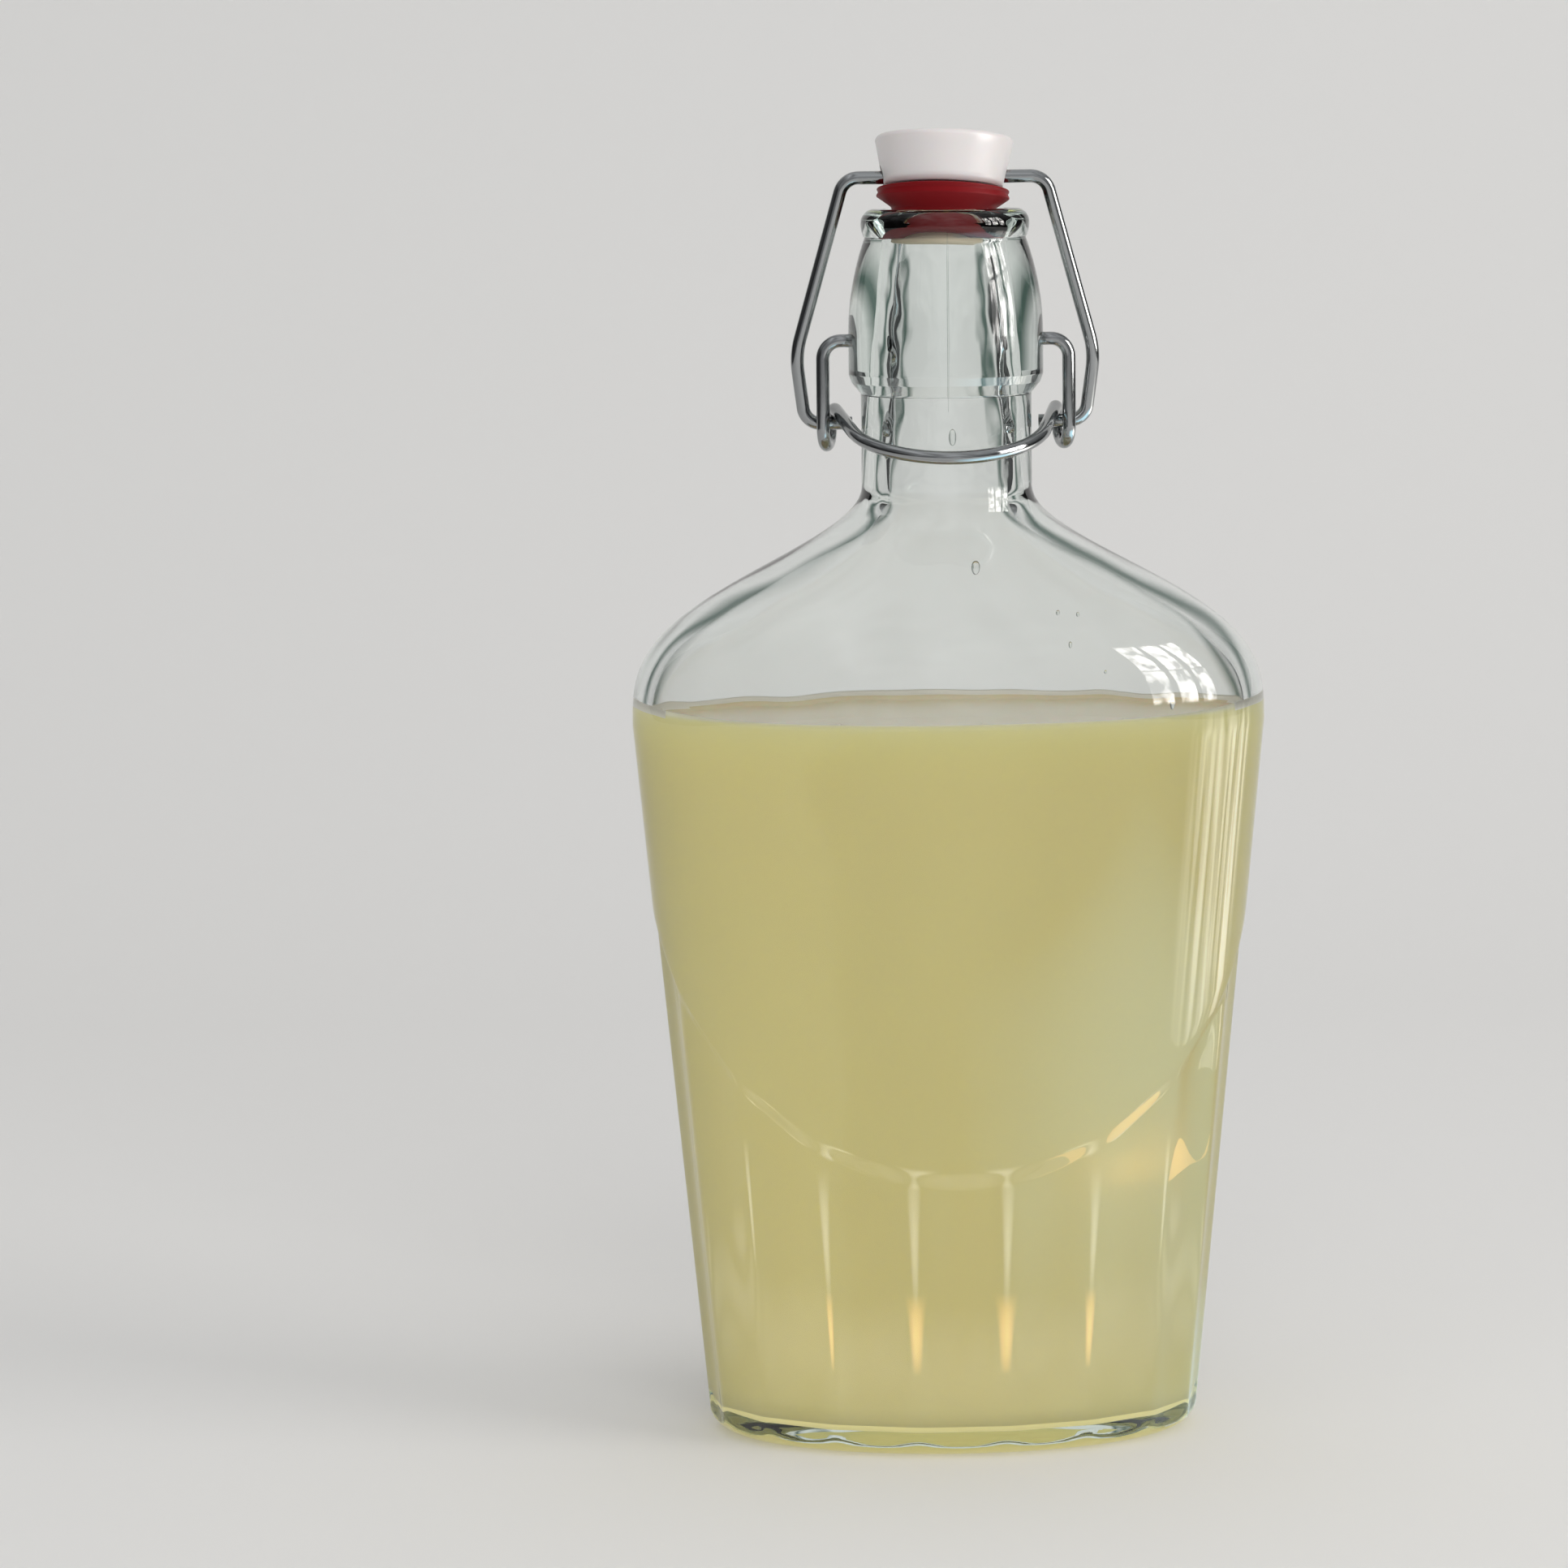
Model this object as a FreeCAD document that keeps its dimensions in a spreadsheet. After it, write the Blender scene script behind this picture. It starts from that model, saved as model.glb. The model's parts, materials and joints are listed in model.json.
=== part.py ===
"""Swing top bottle: a flat oval glass bottle with a wire-lever closure, closed, standing on its base.

Frame: origin at the middle of the base on the surface it stands on, +Z up, the thumb bow towards -Y.
"""
import FreeCAD, Part
import math
import os
import re

import Sketcher

Vector = FreeCAD.Vector

doc = FreeCAD.newDocument("swing_top_bottle")

# Driving sizes, in millimetres and degrees
SIZES = [
    # glass body
    ("base_half_width", 41.6, "half width of the body carried down to the base plane"),
    ("base_half_depth", 25.0, "half depth of the body carried down to the base plane"),
    ("body_half_width", 53.0, "half width at the widest level"),
    ("body_half_depth", 31.0, "half depth at the widest level"),
    ("shoulder_height", 120.8, "height of the widest level"),
    ("neck_height", 160.3, "height where the shoulder has become the round neck"),
    ("neck_length", 14.9, "straight neck from there to the collar"),
    ("neck_radius", 14.2, "outside of the neck"),
    ("heel_radius", 5.0, "rounding between side and base"),
    ("wall", 3.0, "thickness of the side wall"),
    ("shoulder_drop", 2.2, "how much lower the inside of the shoulder lies"),
    ("base_thickness", 4.8, "glass at the standing ring"),
    ("cavity_heel_radius", 6.0, "rounding at the bottom of the inside"),
    ("push_up", 1.5, "hollow under the base"),
    ("standing_ring", 3.6, "width of the flat ring that the bottle stands on"),
    # facets of the foot
    ("facet_count", 18, "shallow facets round the foot"),
    ("facet_inset", 0.45, "ridges lie this far inside the smooth oval"),
    ("flute_depth", 0.25, "how hollow each facet is"),
    ("facet_low", 47.5, "lowest point of the arc that ends the facets"),
    ("facet_arc", 51.0, "radius of that arc, seen from the front"),
    # neck finish
    ("collar_sink", 0.5, "how far inside the neck the slope under the collar starts"),
    ("collar_chamfer", 2.4, "height of the slope under the collar"),
    ("collar_edge", 1.4, "height of the edge above that slope"),
    ("collar_edge_step", 0.5, "how far that edge leans in"),
    ("barrel_radius", 16.2, "widest part of the barrel-shaped finish"),
    ("barrel_straight", 6.5, "straight part of the barrel"),
    ("barrel_length", 16.0, "curved part of the barrel, up to the lip"),
    ("throat_radius", 13.4, "outside of the glass just below the lip"),
    ("lip_radius", 14.0, "outside of the lip"),
    ("lip_height", 4.8, "height of the lip bead"),
    ("lip_round", 2.3, "rounding of the lip's top edge"),
    ("lip_under_rise", 2.3, "height over which the lip bead swells out of the throat"),
    ("bore_radius", 9.35, "inside of the finish"),
    ("bore_flare", 0.6, "how much wider the foot of the neck is inside"),
    ("mouth_round", 1.0, "rounding of the mouth's inner edge"),
    # wires
    ("wire_radius", 1.1, "both steel wires"),
    ("pivot_rise", 5.6, "pivots above the top of the collar edge"),
    ("dimple_depth", 2.6, "depth of the two dimples that hold the lever"),
    ("pivot_clearance", 0.1, "room round and behind a pivot in its dimple"),
    ("arm_half_span", 20.5, "lever arms from the middle plane"),
    ("arm_bend", 3.0, "bend between pivot and arm"),
    ("eye_drop", 14.5, "eyes below the pivots"),
    ("eye_radius", 2.95, "middle of the wire in an eye"),
    ("eye_lead", 13.5, "degrees that each half of an eye leans inwards"),
    ("eye_seat", 0.1, "room between a hook and the top of its eye"),
    ("bow_slope", 16.5, "degrees that the bow slopes down towards the front"),
    ("bow_leg", 10.4, "straight part of the bow beside the neck"),
    ("bail_top_half_span", 16.7, "upper corners of the bail"),
    ("bail_top_bend", 3.2, "bend at those corners"),
    ("bail_wide_half_span", 24.9, "widest corners of the bail"),
    ("bail_wide_rise", 11.5, "those corners above the hooks"),
    ("bail_wide_bend", 14.0, "bend there"),
    ("hook_half_span", 23.4, "lower corners of the bail"),
    ("hook_bend", 3.0, "bend at those corners"),
    ("hook_end_half_span", 15.6, "ends of the hooks"),
    # stopper and gasket, measured up from the underside of the button
    ("button_radius", 6.2, "button that keeps the gasket on"),
    ("button_height", 3.0, "height of the button"),
    ("button_round", 1.2, "rounding of the button"),
    ("stem_radius", 4.8, "stem inside the gasket"),
    ("gasket_height", 7.9, "height of the gasket"),
    ("gasket_room", 0.1, "room between stem and gasket"),
    ("cap_bottom_radius", 9.9, "lower edge of the cap"),
    ("cap_top_radius", 11.45, "widest part of the cap"),
    ("cap_height", 8.2, "height of the cap to its flat top"),
    ("cap_round", 0.9, "rounding of the cap's top edge"),
    ("cap_dome", 0.5, "rise of the cap's top"),
    ("crossbar_offset", 1.6, "middle of the cross hole above the cap's underside"),
    ("cross_hole_room", 0.6, "room round the wire in the cross hole"),
    ("seal_room", 2.05, "middle of the rim's lower edge above the lip, so that the leaning rim clears it"),
    ("rim_radius", 11.2, "rim of the gasket"),
    ("rim_shoulder_radius", 8.0, "top edge of the gasket"),
    ("rim_slope", 0.6, "height of the slope above the rim"),
    ("rim_thickness", 0.9, "height of the grooved rim"),
    ("rim_groove", 0.35, "depth of the groove round the rim"),
    ("rim_underside", 1.2, "height of the slope under the rim"),
    ("plug_top_radius", 8.1, "gasket just under its rim"),
    ("plug_bottom_radius", 7.3, "gasket at its lower end"),
    ("stopper_lean", 8.5, "degrees that the loose stopper leans back"),
    ("stopper_tilt", 2.2, "degrees that it tilts to the right"),
    ("stopper_shift", 0.2, "how far it sits to the left"),
]

sheet = doc.addObject("Spreadsheet::Sheet", "Sizes")
for row, (alias, number, meaning) in enumerate(SIZES, start=1):
    sheet.set(f"A{row}", meaning)
    sheet.set(f"B{row}", str(number))
    sheet.setAlias(f"B{row}", alias)
doc.recompute()


def size(alias):
    """One driving size as a number."""
    return float(sheet.get(alias))


def bound(formula):
    """A formula of aliases as an expression on the sheet."""
    return re.sub(r"[a-z]+_[a-z_]+|wall", lambda word: "Sizes." + word.group(), formula)


def measure(formula):
    """What such a formula comes to at the present sizes."""
    return float(sheet.evalExpression(bound(formula)))


# Heights that several pieces share
COLLAR_BOTTOM = "neck_height + neck_length"
COLLAR_TOP = f"{COLLAR_BOTTOM} + collar_chamfer + collar_edge"
LIP_BOTTOM = f"{COLLAR_TOP} + barrel_straight + barrel_length"
LIP_TOP = f"{LIP_BOTTOM} + lip_height"
PIVOT_HEIGHT = f"{COLLAR_TOP} + pivot_rise"
CROSSBAR_HEIGHT = f"{LIP_TOP} + seal_room + rim_thickness + rim_slope + crossbar_offset"


def arc_between(start, end, radius):
    """Arc of under a half circle from start to end; a positive radius turns left on the way."""
    chord = end - start
    middle = (start + end) * 0.5
    left = Vector(-chord.y, chord.x, 0).normalize()
    offset = math.sqrt(radius ** 2 - (chord.Length / 2) ** 2)
    centre = middle + left * math.copysign(offset, radius)
    away = (middle - centre).normalize()
    return Part.Arc(start, centre + away * abs(radius), end)


def outline(body, name, corners):
    """Closed sketch on the XZ plane whose corners are formulas (x, z).

    A third formula makes the edge that leaves the corner an arc of that radius, turning left, and a fourth
    entry "right" turns it right.
    """
    sketch = body.newObject("Sketcher::SketchObject", name)
    plane = next(item for item in body.Origin.OriginFeatures if item.Role == "XZ_Plane")
    sketch.AttachmentSupport = (plane, [""])
    sketch.MapMode = "FlatFace"
    spots = [Vector(measure(corner[0]), measure(corner[1]), 0) for corner in corners]
    ends = []
    for index, corner in enumerate(corners):
        start, end = spots[index], spots[(index + 1) % len(spots)]
        turns_right = "right" in corner[3:]
        if len(corner) == 2:
            edge = sketch.addGeometry(Part.LineSegment(start, end), False)
        else:
            radius = measure(corner[2]) * (-1 if turns_right else 1)
            edge = sketch.addGeometry(arc_between(start, end, radius), False)
        ends.append((edge, 2, 1) if turns_right else (edge, 1, 2))
    constrain = sketch.addConstraint
    for index, (edge, first, last) in enumerate(ends):
        following, following_first, _ = ends[(index + 1) % len(ends)]
        constrain(Sketcher.Constraint("Coincident", edge, last, following, following_first))
    for (edge, first, _), corner, spot in zip(ends, corners, spots):
        if corner[0] == "0":
            constrain(Sketcher.Constraint("PointOnObject", edge, first, -2))
        else:
            across = constrain(Sketcher.Constraint("DistanceX", -1, 1, edge, first, spot.x))
            sketch.setExpression(f"Constraints[{across}]", bound(corner[0]))
        if corner[1] == "0":
            constrain(Sketcher.Constraint("PointOnObject", edge, first, -1))
        else:
            upward = constrain(Sketcher.Constraint("DistanceY", -1, 1, edge, first, spot.y))
            sketch.setExpression(f"Constraints[{upward}]", bound(corner[1]))
        if len(corner) > 2:
            bend = constrain(Sketcher.Constraint("Radius", edge, measure(corner[2])))
            sketch.setExpression(f"Constraints[{bend}]", bound(corner[2]))
    return sketch


def turned(label, corners):
    """Body made by turning an outline round the Z axis."""
    body = doc.addObject("PartDesign::Body", label)
    sketch = outline(body, label + "_outline", corners)
    turning = body.newObject("PartDesign::Revolution", label + "_turning")
    turning.Profile = sketch
    turning.ReferenceAxis = (sketch, ["V_Axis"])
    turning.Angle = 360
    return body


def combine(kind, label, base, tool):
    """Boolean of two objects: Part::Cut, Part::Fuse or Part::Common."""
    result = doc.addObject(kind, label)
    result.Base = base
    result.Tool = tool
    return result


# Glass body: an oval on a straight taper up to the shoulder, then along a squared cosine into the round neck
LEVEL_STEP = 4.0
HEEL_STEPS = 6
OVAL_POINTS = 24
SHOULDER_POWER = 1.5


def half_axes(height, wall, neck_radius, drop):
    """Half width and half depth at a height, for the outside or, with a wall, for the inside."""
    shoulder = size("shoulder_height") - drop
    taper = min(1, height / shoulder)
    climb = min(1, max(0, (height - shoulder) / (size("neck_height") - size("shoulder_height"))))
    share = math.cos(math.pi / 2 * climb ** SHOULDER_POWER) ** 2
    axes = []
    for way in ("half_width", "half_depth"):
        body = size("base_" + way) + (size("body_" + way) - size("base_" + way)) * taper - wall
        axes.append(neck_radius + (body - neck_radius) * share)
    return axes


def oval_solid(name, levels):
    """Smooth solid through level ovals, each (half width, half depth, height); its seam is at the back."""
    turn = 2 * math.pi / OVAL_POINTS
    around = Part.BSplineCurve()
    around.interpolate(
        [Vector(-math.sin(turn * index), math.cos(turn * index), 0) for index in range(OVAL_POINTS)],
        PeriodicFlag=True,
    )
    upward = Part.BSplineCurve()
    upward.interpolate([Vector(*level) for level in levels])
    poles = [
        [Vector(row.x * spot.x, row.y * spot.y, row.z) for row in upward.getPoles()]
        for spot in around.getPoles()
    ]
    side = Part.BSplineSurface()
    side.buildFromPolesMultsKnots(
        poles,
        around.getMultiplicities(), upward.getMultiplicities(),
        around.getKnots(), upward.getKnots(),
        True, False, around.Degree, upward.Degree,
    )
    skin = side.toShape()
    ends = [Part.Face(Part.Wire(edge)).reversed() for edge in skin.Edges if edge.isClosed()]
    form = doc.addObject("Part::Feature", name)
    form.Shape = Part.Solid(Part.Shell([skin] + ends))
    return form


def body_form(name, bottom, top, heel, wall, foot_radius, top_radius, drop):
    """Body with a rounded heel between two heights, whose neck goes from one radius to another."""
    neck_foot = size("neck_height") - drop
    count = round((top - bottom - heel) / LEVEL_STEP)
    steps = [(top - bottom - heel) * number / count for number in range(1, count + 1)]
    rounding = [math.pi / 2 * number / HEEL_STEPS for number in range(HEEL_STEPS + 1)]
    heights = [(bottom + heel * (1 - math.cos(angle)), heel * (1 - math.sin(angle))) for angle in rounding]
    heights += [(bottom + heel + step, 0) for step in steps]
    levels = []
    for height, inset in heights:
        along_neck = max(0, (height - neck_foot) / (top - neck_foot))
        radius = foot_radius + (top_radius - foot_radius) * along_neck
        half_width, half_depth = half_axes(height, wall, radius, drop)
        levels.append((half_width - inset, half_depth - inset, height))
    return oval_solid(name, levels)


outer_form = body_form(
    "outer_form", 0, measure(COLLAR_TOP), size("heel_radius"), 0,
    size("neck_radius"), size("neck_radius"), 0,
)
inner_form = body_form(
    "inner_form", size("base_thickness"), measure(COLLAR_BOTTOM), size("cavity_heel_radius"), size("wall"),
    measure("bore_radius + bore_flare"), measure("bore_radius - bore_flare"), size("shoulder_drop"),
)


def oval(name, half_width, half_depth, height):
    """Level oval whose half axes and height are formulas."""
    ring = doc.addObject("Part::Ellipse", name)
    ring.setExpression("MajorRadius", bound(half_width))
    ring.setExpression("MinorRadius", bound(half_depth))
    ring.setExpression("Placement.Base.z", bound(height))
    return ring


# Facets of the foot: what lies below the arc and outside a tapered prism with hollow sides comes off
OVERSHOOT = 2.0


def facet_ring(height):
    """Ring of shallow hollow arcs inside the body's oval, carried along its taper to a height."""
    level = height / size("shoulder_height")
    half_width = size("base_half_width") + (size("body_half_width") - size("base_half_width")) * level
    half_depth = size("base_half_depth") + (size("body_half_depth") - size("base_half_depth")) * level
    turn = 2 * math.pi / size("facet_count")
    corners = [
        Vector(
            (half_width - size("facet_inset")) * math.cos(turn * index),
            (half_depth - size("facet_inset")) * math.sin(turn * index),
            height,
        )
        for index in range(int(size("facet_count")))
    ]
    hollows = []
    for start, end in zip(corners, corners[1:] + corners[:1]):
        middle = (start + end) * 0.5
        inward = Vector(-middle.x, -middle.y, 0).normalize()
        hollows.append(Part.Arc(start, middle + inward * size("flute_depth"), end).toShape())
    return Part.Wire(hollows)


arc_middle = "facet_low + facet_arc"
prism = doc.addObject("Part::Feature", "facet_prism")
prism.Shape = Part.makeLoft([facet_ring(-OVERSHOOT), facet_ring(measure(arc_middle) + OVERSHOOT)], True, True)

foot_block = doc.addObject("Part::Box", "foot_block")
foot_block.setExpression("Length", bound(f"2 * body_half_width + {2 * OVERSHOOT}"))
foot_block.setExpression("Width", bound(f"2 * body_half_depth + {2 * OVERSHOOT}"))
foot_block.setExpression("Height", bound(f"{arc_middle} + {OVERSHOOT}"))
foot_block.setExpression("Placement.Base.x", bound(f"-body_half_width - {OVERSHOOT}"))
foot_block.setExpression("Placement.Base.y", bound(f"-body_half_depth - {OVERSHOOT}"))
foot_block.Placement.Base.z = -OVERSHOOT

smooth_disc = doc.addObject("Part::Cylinder", "smooth_disc")
smooth_disc.Placement.Rotation = FreeCAD.Rotation(Vector(1, 0, 0), -90)
smooth_disc.setExpression("Radius", bound("facet_arc"))
smooth_disc.setExpression("Height", bound(f"2 * body_half_depth + {4 * OVERSHOOT}"))
smooth_disc.setExpression("Placement.Base.y", bound(f"-body_half_depth - {2 * OVERSHOOT}"))
smooth_disc.setExpression("Placement.Base.z", bound(arc_middle))

below_arc = combine("Part::Cut", "below_arc", foot_block, smooth_disc)
facet_cutter = combine("Part::Cut", "facet_cutter", below_arc, prism)
faceted_body = combine("Part::Cut", "faceted_body", outer_form, facet_cutter)

# Hollow under the base, inside the standing ring: a shallow dome
DOME_SHARES = (1.1, 0.85, 0.6, 0.35, 0.1)
hollow = doc.addObject("Part::Loft", "base_hollow")
hollow.Sections = [
    oval(
        f"dome_{number}",
        f"(base_half_width - heel_radius - standing_ring) * {share}",
        f"(base_half_depth - heel_radius - standing_ring) * {share}",
        f"push_up * {1 - share ** 2:.6f}",
    )
    for number, share in enumerate(DOME_SHARES)
]
hollow.Solid = True
standing_body = combine("Part::Cut", "standing_body", faceted_body, hollow)

# Neck finish: collar, barrel and lip bead
finish = turned("neck_finish", [
    ("0", COLLAR_BOTTOM),
    ("neck_radius - collar_sink", COLLAR_BOTTOM),
    ("barrel_radius - collar_edge_step", f"{COLLAR_BOTTOM} + collar_chamfer"),
    ("barrel_radius", COLLAR_TOP),
    (
        "barrel_radius", f"{COLLAR_TOP} + barrel_straight",
        "((barrel_radius - throat_radius) ^ 2 + barrel_length ^ 2) / (2 * (barrel_radius - throat_radius))",
    ),
    (
        "throat_radius", LIP_BOTTOM,
        "((lip_radius - throat_radius) ^ 2 + lip_under_rise ^ 2) / (2 * (lip_radius - throat_radius))",
    ),
    ("lip_radius", f"{LIP_BOTTOM} + lip_under_rise"),
    ("lip_radius", f"{LIP_TOP} - lip_round", "lip_round"),
    ("lip_radius - lip_round", LIP_TOP),
    ("0", LIP_TOP),
])

# Bore from the inside of the shoulder to the mouth, rounded at the mouth
bore = turned("bore", [
    ("0", "neck_height"),
    ("bore_radius", "neck_height"),
    ("bore_radius", f"{LIP_TOP} - mouth_round", "mouth_round", "right"),
    ("bore_radius + mouth_round", LIP_TOP),
    ("bore_radius + mouth_round", f"{LIP_TOP} + {OVERSHOOT}"),
    ("0", f"{LIP_TOP} + {OVERSHOOT}"),
])


def dimple(name, side):
    """Round hole for one pivot of the lever, on the right (1) or the left (-1)."""
    hole = doc.addObject("Part::Cylinder", name)
    hole.Placement.Rotation = FreeCAD.Rotation(Vector(0, 1, 0), 90 * side)
    hole.setExpression("Radius", bound("wire_radius + pivot_clearance"))
    hole.setExpression("Height", bound("2 * dimple_depth"))
    hole.setExpression("Placement.Base.x", bound(f"{side} * (barrel_radius - dimple_depth)"))
    hole.setExpression("Placement.Base.z", bound(PIVOT_HEIGHT))
    return hole


bottle = combine("Part::Fuse", "whole_glass", standing_body, finish)
for name, tool in (
    ("hollow_glass", inner_form),
    ("open_glass", bore),
    ("right_dimpled_glass", dimple("right_dimple", 1)),
    ("glass_bottle", dimple("left_dimple", -1)),
):
    bottle = combine("Part::Cut", name, bottle, tool)


# Wires: straight runs and tangent arcs, swept with one round section
def direction(degrees):
    """Cosine and sine of an angle in degrees."""
    return math.cos(math.radians(degrees)), math.sin(math.radians(degrees))


def mirrored(point):
    return Vector(-point.x, point.y, point.z)


def least_gap(wire, radius):
    """Least distance between two places on a wire's surface that lie more than 3 diameters apart along it."""
    spacing = radius / 2
    points = wire.discretize(Distance=spacing)
    apart = int(6 * radius / spacing)
    return min(
        points[first].distanceToPoint(points[second])
        for first in range(len(points))
        for second in range(first + apart, len(points))
    ) - 2 * radius


def swept_wire(label, edges):
    """Wire of the sheet's thickness along tangent edges that start along X."""
    route = doc.addObject("Part::Feature", label + "_route")
    route.Shape = Part.Wire(edges)
    section = doc.addObject("Part::Circle", label + "_section")
    section.setExpression("Radius", bound("wire_radius"))
    start = edges[0].firstVertex().Point
    section.Placement = FreeCAD.Placement(start, FreeCAD.Rotation(Vector(0, 1, 0), 90))
    sweep = doc.addObject("Part::Sweep", label)
    sweep.Sections = [section]
    sweep.Spine = (route, [f"Edge{number}" for number in range(1, len(edges) + 1)])
    sweep.Solid = True
    gap = least_gap(route.Shape, size("wire_radius"))
    print(f"{label}: length {route.Shape.Length:.1f}, least gap to itself {gap:.2f}")
    return sweep


def line(start, end):
    return Part.LineSegment(start, end).toShape()


def arc(start, middle, end):
    return Part.Arc(start, middle, end).toShape()


# Lever: pivot, arm, eye of three quarters of a turn, bow; worked out on the right and mirrored
UP = Vector(0, 0, 1)
pivot_height = measure(PIVOT_HEIGHT)
arm_x = size("arm_half_span")
arm_bend = size("arm_bend")
eye_radius = size("eye_radius")
lead_cos, lead_sin = direction(size("eye_lead"))
slope = size("bow_slope")
backwards = Vector(-lead_sin, lead_cos, 0)
forwards = Vector(-lead_sin, -lead_cos, 0)

pin_end = Vector(size("barrel_radius") - size("dimple_depth") + size("pivot_clearance"), 0, pivot_height)
bend_start = Vector(arm_x - arm_bend, 0, pivot_height)
bend_cos, bend_sin = direction(45)
bend_middle = Vector(arm_x - arm_bend * (1 - bend_cos), 0, pivot_height - arm_bend * (1 - bend_sin))
arm_top = Vector(arm_x, 0, pivot_height - arm_bend)
eye_front = Vector(arm_x, 0, pivot_height - size("eye_drop"))
eye_bottom = eye_front + backwards * eye_radius - UP * eye_radius
eye_back = eye_front + backwards * (2 * eye_radius)
upper_middle = eye_back + forwards * eye_radius


def upper_eye(degrees):
    """Point on the eye's upper half, counted from its back."""
    across, upward = direction(degrees)
    return upper_middle - forwards * (eye_radius * across) + UP * (eye_radius * upward)


eye_over = upper_eye((90 + slope) / 2)
leg_start = upper_eye(90 + slope)
slope_cos, slope_sin = direction(slope)
leg_way = forwards * slope_cos - UP * slope_sin
leg_end = leg_start + leg_way * size("bow_leg")
# The bow is the circle that both legs run into, in the sloping plane that holds them
plane_way = Vector(0, leg_way.y, leg_way.z).normalize()
inward = math.asin(-leg_way.x)
bow_radius = leg_end.x / math.cos(inward)
bow_front = Vector(0, leg_end.y, leg_end.z) + plane_way * (bow_radius * (1 - math.sin(inward)))

right_side = [
    line(pin_end, bend_start),
    arc(bend_start, bend_middle, arm_top),
    line(arm_top, eye_front),
    arc(eye_front, eye_bottom, eye_back),
    arc(eye_back, eye_over, leg_start),
    line(leg_start, leg_end),
]
left_side = [
    line(mirrored(leg_end), mirrored(leg_start)),
    arc(mirrored(leg_start), mirrored(eye_over), mirrored(eye_back)),
    arc(mirrored(eye_back), mirrored(eye_bottom), mirrored(eye_front)),
    line(mirrored(eye_front), mirrored(arm_top)),
    arc(mirrored(arm_top), mirrored(bend_middle), mirrored(bend_start)),
    line(mirrored(bend_start), mirrored(pin_end)),
]
lever = swept_wire("lever_wire", right_side + [arc(leg_end, bow_front, mirrored(leg_end))] + left_side)


# Bail: hooks in the eyes, legs, crossbar; flat, in the plane that leans from the eyes to the stopper
def rounded_route(points, bends):
    """Straight runs between points, with an arc of the given radius at each inner point."""
    edges = []
    reached = points[0]
    for before, corner, after, bend in zip(points, points[1:], points[2:], bends):
        arriving = (corner - before).normalize()
        leaving = (after - corner).normalize()
        half_turn = arriving.getAngle(leaving) / 2
        inset = bend * math.tan(half_turn)
        arc_start = corner - arriving * inset
        arc_end = corner + leaving * inset
        to_middle = (leaving - arriving).normalize()
        arc_middle = corner + to_middle * (bend / math.cos(half_turn) - bend)
        edges.append(line(reached, arc_start))
        edges.append(arc(arc_start, arc_middle, arc_end))
        reached = arc_end
    edges.append(line(reached, points[-1]))
    return edges


hook_rise = size("eye_radius") - 2 * size("wire_radius") - size("eye_seat")
hook = Vector(0, eye_front.y + eye_radius * lead_cos, eye_front.z + hook_rise)
crossbar = Vector(0, 0, measure(CROSSBAR_HEIGHT))
downwards = (hook - crossbar).normalize()


def bail_point(half_span, drop):
    return crossbar + Vector(half_span, 0, 0) + downwards * drop


bail_length = (hook - crossbar).Length
right_points = [
    bail_point(size("hook_end_half_span"), bail_length),
    bail_point(size("hook_half_span"), bail_length),
    bail_point(size("bail_wide_half_span"), bail_length - size("bail_wide_rise")),
    bail_point(size("bail_top_half_span"), 0),
]
bail_points = right_points + [mirrored(point) for point in reversed(right_points)]
right_bends = [size("hook_bend"), size("bail_wide_bend"), size("bail_top_bend")]
bail = swept_wire("bail_wire", rounded_route(bail_points, right_bends + right_bends[::-1]))

# Stopper: button, stem and cap in one moulding, with a cross hole that leaves the wire room
CAP_BOTTOM = "button_height + gasket_height"
CAP_EDGE = f"{CAP_BOTTOM} + cap_height"
stopper = turned("stopper", [
    ("0", "0"),
    ("button_radius - button_round", "0", "button_round"),
    ("button_radius", "button_round"),
    ("button_radius", "button_height"),
    ("stem_radius", "button_height"),
    ("stem_radius", CAP_BOTTOM),
    ("cap_bottom_radius", CAP_BOTTOM),
    ("cap_top_radius", f"{CAP_EDGE} - cap_round", "cap_round"),
    (
        "cap_top_radius - cap_round", CAP_EDGE,
        "((cap_top_radius - cap_round) ^ 2 + cap_dome ^ 2) / (2 * cap_dome)",
    ),
    ("0", f"{CAP_EDGE} + cap_dome"),
])
side_plane = next(item for item in stopper.Origin.OriginFeatures if item.Role == "YZ_Plane")
cross_outline = stopper.newObject("Sketcher::SketchObject", "cross_hole_outline")
cross_outline.AttachmentSupport = (side_plane, [""])
cross_outline.MapMode = "FlatFace"
cross_height = f"{CAP_BOTTOM} + crossbar_offset"
cross_radius = "wire_radius + cross_hole_room"
circle = Part.Circle(Vector(0, measure(cross_height), 0), Vector(0, 0, 1), measure(cross_radius))
cross_circle = cross_outline.addGeometry(circle, False)
cross_outline.addConstraint(Sketcher.Constraint("PointOnObject", cross_circle, 3, -2))
height_rule = cross_outline.addConstraint(
    Sketcher.Constraint("DistanceY", -1, 1, cross_circle, 3, measure(cross_height)))
cross_outline.setExpression(f"Constraints[{height_rule}]", bound(cross_height))
radius_rule = cross_outline.addConstraint(Sketcher.Constraint("Radius", cross_circle, measure(cross_radius)))
cross_outline.setExpression(f"Constraints[{radius_rule}]", bound(cross_radius))
cross_hole = stopper.newObject("PartDesign::Pocket", "cross_hole")
cross_hole.Profile = cross_outline
cross_hole.Midplane = True
cross_hole.setExpression("Length", bound("4 * cap_top_radius"))

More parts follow.
